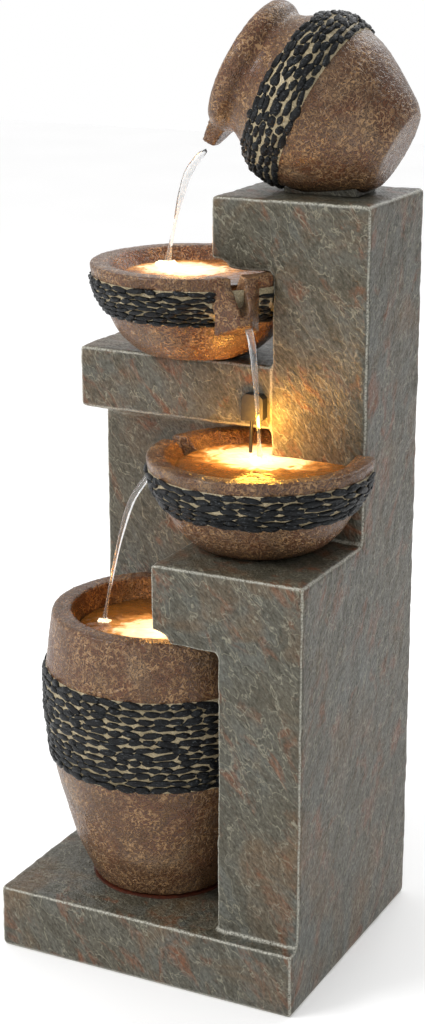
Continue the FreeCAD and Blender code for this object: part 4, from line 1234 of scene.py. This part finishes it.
@dataclass
class Jug(Bowl):
    """The tilted jug that pours into the upper bowl."""
    lean: float = 63.3
    neck: float = 188.0
    saddle: float = 812.0

    def section(self) -> list[tuple[float, float]]:
        """Give the jug's half section, closed by its foot's disc."""
        return eased([
            (0, 0), (42.3, 0), (44.3, 2), (52.3, 9), (62, 25), (72.7, 44), (83.3, 64),
            (89.3, 88), (92.3, 108), (89.3, 121), (79.8, 136), (70, 152), (66.5, 161),
            (73, 169), (74, 177), (72, 184), (67, 188), (62, 188), (60, 184),
            (57.5, 160), (70.8, 136), (83.3, 108), (74.3, 64), (63.7, 44), (42.3, 14),
            (0, 10)])

    def place(self) -> Matrix:
        """Give the jug's place and lean."""
        return super().place() @ Matrix.Rotation(math.radians(self.lean), 4, "Y")

    def lip(self) -> Iterator[tuple[Piece, By]]:
        """Make what is added to the neck or cut from it.

        Yields:
            The spout, and then the way that the water pours through it.
        """
        top = self.neck
        yield chute("spout", (44, 93), (40, top - 27, top - 2), (8, top - 12, top + 3)), By.ADDING
        yield chute("pour", (20, 96), (27, top - 18, top + 24),
                    (4.0, top - 4, top + 24)), By.CUTTING

    def cuts(self) -> Iterator[Piece]:
        """Make the way for the riser's hose."""
        yield drum("riser_way", (*RISER, self.saddle), 9.0, 40)

    def may_lay(self, point: Vector, heading: float) -> bool:
        """Tell whether a stone may be laid, clear of the saddle."""
        return point.z / MM > self.saddle + self.band.row * 0.3

    def clear_boxes(self) -> Sequence[Box]:
        """Give the box below the saddle's top."""
        return [((-200, -200, 700), (300, 300, self.saddle))]


# ------------------------------------------------------------------ water
@dataclass
class Pool:
    """The still water in a vessel, with the bright foam where a stream meets it."""
    name: str
    centre: Point
    radius: float
    finish: Finish
    # the foam's place and half widths along X and Y
    foam: tuple[float, float, float, float]
    boxes: Sequence[Box] = ()

    def build(self) -> None:
        """Model the water and its foam."""
        slab = drum(self.name, self.centre, self.radius, 2.4, "Z", 96)
        for shape in blocks(self.name, self.boxes):
            combine(slab, shape)
        cast(slab, 2.2, 1)
        roughen(slab, 11.0, 1.6)
        paint(slab, self.finish)
        place_piece(slab)
        x, y, wide, deep = (c * MM for c in self.foam)
        foam = add_primitive(f"{self.name}_foam_0", bpy.ops.mesh.primitive_ico_sphere_add,
                             subdivisions=5, radius=1.0, location=(x, y, self.centre[2] * MM),
                             scale=(wide, deep, 4.2 * MM))
        roughen(foam, 8.0, 7.0)
        roughen(foam, 3.0, 2.0)
        bpy.ops.object.shade_smooth()
        paint(foam, FOAM)
        place_piece(foam)


@dataclass
class Stream:
    """A thread of falling water that leaves a lip and speeds up as it falls."""
    name: str
    start: Point
    end: Point
    wide: float
    thick: float
    seed: int
    steps: int = 44

    def uneven(self, place: float, lane: float) -> float:
        """Give the stream's own smooth unevenness at a place along it."""
        return noise.noise(Vector((place, lane, self.seed)))

    def build(self) -> None:
        """Model the stream as a flattened, twisting, tapering thread."""
        piece = drum(self.name, (0, 0, 0), 1.0, 1.0, "Z", 20)
        with editing(piece):
            bpy.ops.mesh.bisect(plane_co=(0, 0, 0), plane_no=(0, 0, 1))
            for n in range(1, self.steps):
                bpy.ops.mesh.select_all(action="SELECT")
                bpy.ops.mesh.bisect(plane_co=(0, 0, (n / self.steps - 0.5) * MM),
                                    plane_no=(0, 0, 1))
        start = Vector(self.start)
        fall = Vector(self.end) - start
        for vertex in piece.data.vertices:
            x, y, height = vertex.co / MM
            share = 0.5 - height
            taper = 1.0 - 0.4 * min(1.0, share * 1.6) + 0.9 * max(0.0, share - 0.93) * 8
            twist = share * 2.6 + noise.noise(Vector((share * 5.0, self.seed, 0)))
            wide = self.wide * taper * (1 + 0.16 * self.uneven(share * 13, 3))
            deep = self.thick * taper * (1 + 0.3 * self.uneven(share * 17, 9))
            across = Vector((math.cos(twist), math.sin(twist), 0))
            along = Vector((-math.sin(twist), math.cos(twist), 0))
            run = math.sqrt(max(share, 0.0))
            spot = start + Vector((fall.x * run, fall.y * run, fall.z * share))
            vertex.co = (spot + across * x * wide / 2 + along * y * deep / 2) * MM
        with editing(piece):
            bpy.ops.mesh.normals_make_consistent(inside=False)
        bpy.ops.object.shade_smooth()
        modify(piece, "SUBSURF", levels=1, render_levels=1)
        paint(piece, FALLING)
        place_piece(piece)


# ------------------------------------------------------------------ fittings
@dataclass
class Cable:
    """The thin black cable that drops from the shelf to the middle bowl's light."""
    route: Sequence[Point] = ((45.5, 10.5, 581.6), (45, 9.5, 563), (45.5, 8, 540), (46, 7, 517),
                              (48, 2.5, 499), (54, -5, 487.5), (63.2, -17.5, 482.8))
    thick: float = 3.7
    length: float = 0.112

    def build(self) -> None:
        line = bpy.data.curves.new("light_lead", "CURVE")
        line.dimensions = "3D"
        line.bevel_depth = self.thick / 2 * MM
        line.bevel_resolution = 5
        line.use_fill_caps = True
        spline = line.splines.new("NURBS")
        spline.points.add(len(self.route) - 1)
        for point, place in zip(spline.points, self.route):
            point.co = (*[c * MM for c in place], 1.0)
        spline.order_u = 3
        spline.use_endpoint_u = True
        spline.resolution_u = 12
        lead = linked("light_lead", line)
        paint(lead, JACKET)
        place_piece(lead, ["light_cable"])
        [c * MM for c in self.route[0]]


@dataclass
class Fittings:
    """The design's own small pieces, which only need their finish."""
    # the first of these words that a node's name holds gives its finish; others are slate
    dress: dict[str, Finish]
    modelled: frozenset[str] = frozenset((
        "upper_bowl", "middle_bowl", "lower_pot", "pot_mouth", "jug", "upper_band",
        "middle_band", "pot_band", "jug_band", "light_cable"))

    def build(self) -> None:
        """Give each design node that still shows its finish."""
        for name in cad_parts:
            if name in self.modelled or name.startswith("casting_"):
                continue
            finish = next((f for part, f in self.dress.items() if part in name), SLATE)
            paint(bpy.data.objects[name], finish)
            LOG.info("%s: dressed as %s", name, finish.name)


# ------------------------------------------------------------------ studio
@dataclass(frozen=True)
class Lamp:
    """A soft square light that is aimed, or without an aim a small warm glow, in metres."""
    name: str
    at: Point
    power: float
    size: float
    aim: Point | None = None
    colour: str = WHITE

    def build(self) -> None:
        """Hang the light."""
        light = bpy.data.lights.new(self.name, "AREA" if self.aim else "POINT")
        light.energy = self.power
        light.color = linear(self.colour)[:3]
        lamp = linked(self.name, light, self.at)
        if self.aim:
            light.size = self.size
            way = Vector(self.aim) - Vector(self.at)
            lamp.rotation_euler = way.to_track_quat("-Z", "Y").to_euler()
        else:
            light.shadow_soft_size = self.size
            light.specular_factor = 0.0


@dataclass
class Studio:
    """The floor, the soft lights and the camera, in metres and degrees."""
    camera_at: Point = (0.9250, -1.8280, 1.1059)
    look: Point = (90 - 17.044, 0.0, 26.715)
    lens: float = 70.99
    lamps: Sequence[Lamp] = (
        Lamp("key", (-1.7, -1.9, 2.5), 46.0, 1.1, (0, 0, 0.5)),
        Lamp("fill", (2.4, -1.2, 1.7), 3.0, 1.8, (0, 0, 0.5)),
        Lamp("rim", (0.3, 2.2, 2.4), 24.0, 1.6, (0, 0, 0.6)),
        Lamp("upper_glow", (-0.060, 0.060, 0.752), 0.12, 0.022, colour="#ffb45c"),
        Lamp("middle_glow", (0.062, -0.014, 0.584), 0.6, 0.020, colour="#ffb648"),
        Lamp("pot_glow", (-0.030, -0.045, 0.385), 0.2, 0.022, colour="#ffb45c"))

    def camera(self) -> None:
        """Set the camera."""
        lens = bpy.data.cameras.new("studio_camera")
        lens.lens = self.lens
        lens.sensor_width = 36.0
        camera = linked("studio_camera", lens, self.camera_at)
        camera.rotation_euler = [math.radians(a) for a in self.look]
        bpy.context.scene.camera = camera

    def sky(self) -> None:
        """Light the scene evenly, dimmer from the right so that the right faces go darker."""
        world = bpy.data.worlds.new("studio_world")
        bpy.context.scene.world = world
        world.use_nodes = True
        tree = world.node_tree
        way = add_node(tree, Kind.PLACE, out="Generated")
        side = add_node(tree, Kind.SPLIT, {"Vector": way}, out="X")
        shade = add_node(tree, Kind.RANGE, {
            "Value": side, "From Min": 0.0, "From Max": 0.9, "To Min": 1.0, "To Max": 0.3})
        background = tree.nodes["Background"].inputs
        tree.links.new(shade, background["Strength"])
        background["Color"].default_value = (1, 1, 1, 1)

    def build(self) -> None:
        """Set the camera, the pale floor, the sky and the lights."""
        self.camera()
        floor = add_primitive("studio_floor", bpy.ops.mesh.primitive_plane_add, size=14.0)
        paint(floor, FLOOR)
        self.sky()
        for lamp in self.lamps:
            lamp.build()
        bpy.context.scene.view_settings.view_transform = "Standard"


# ------------------------------------------------------------------ assembly
def vessels() -> list[Bowl]:
    """Describe the four vessels with their bands.

    Returns:
        The vessels, from the top down.
    """
    return [
        Jug("jug", (168.5, 93.6, 856.6),
            Mosaic("jug_stones", [(89.3, 88), (91.2, 98), (92.3, 108), (91.0, 114.5),
                                  (89.3, 121), (85.0, 128), (79.8, 136)],
                   7.0, 14.0, 3.2, 0.25, 11), "jug_band", 184.6),
        Bowl("upper_bowl", (-37.5, 50.0, 638.8),
             Mosaic("upper_stones", [(96.5, 46), (108.5, 67), (112.5, 85)],
                    5.8, 17.0, 3.3, 0.14, 21), "upper_band", -42.0, boxes=(COLUMN_BOX,)),
        Bowl("middle_bowl", (74.6, -28.9, 461.7),
             Mosaic("middle_stones", [(100.0, 46), (112.0, 67), (116.0, 85)],
                    7.0, 21.0, 3.3, 0.14, 31), "middle_band", 172.0, 118.0,
             boxes=(COLUMN_BOX, COVE_BOX)),
        Pot("lower_pot", (-37.3, -33.7, 0.0),
            Mosaic("pot_stones", [(121.5, 214), (124.5, 242), (127.5, 270), (127.5, 296),
                                  (126.5, 316)],
                   7.6, 19.0, 3.3, 0.14, 41), "pot_band", voxel=2.2,
            boxes=(COLUMN_BOX, REAR_BOX, STAND_BOX, COVE_BOX)),
    ]


def water() -> list[Pool | Stream]:
    """Describe the pools and the streams.

    Returns:
        The pools and then the streams, each from the top down.
    """
    return [
        Pool("upper_pool", (-37.5, 50, 722), 83, LIT_UPPER, (-88, 79, 15, 10)),
        Pool("middle_pool", (74.6, -28.9, 546), 87.5, LIT_MIDDLE, (67, -14, 13, 9),
             (COLUMN_BOX,)),
        Pool("pot_pool", (-37.3, -33.7, 353), 91.5, LIT_POT, (-101, -48, 9, 7), (REAR_BOX,)),
        Stream("upper_stream", (-38, 72, 851), (-90, 80, 722), 12, 7, 3),
        Stream("middle_stream", (58.5, -33, 700), (67, -14, 546), 9, 6, 5),
        Stream("pot_stream", (-58, -11, 522), (-102, -48, 353), 10, 6, 9),
    ]


def main() -> None:
    """Build every sub-assembly in order."""
    logging.basicConfig(level=logging.INFO, format="%(name)s: %(message)s")
    Studio().build()
    Cable().build()
    Casting().build()
    for vessel in vessels():
        vessel.build()
        vessel.build_band()
    for piece in water():
        piece.build()
    Fittings({"grommet": RUBBER, "gasket": RUBBER, "feet": RUBBER, "screw": STEEL,
              "clip": STEEL, "light_cover": LAMP_COVER, "light_housing": HOUSING,
              "light_board": BOARD, "magnet": MAGNET, "shaft": CERAMIC, "coil": POTTING,
              "hose": HOSE, "nozzle": PUMP, "inlet": PUMP, "pump": PUMP, "dial": PUMP,
              "drain": PUMP, "pot_seat": SEAT}).build()


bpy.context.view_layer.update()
if __name__ == "__main__":
    main()
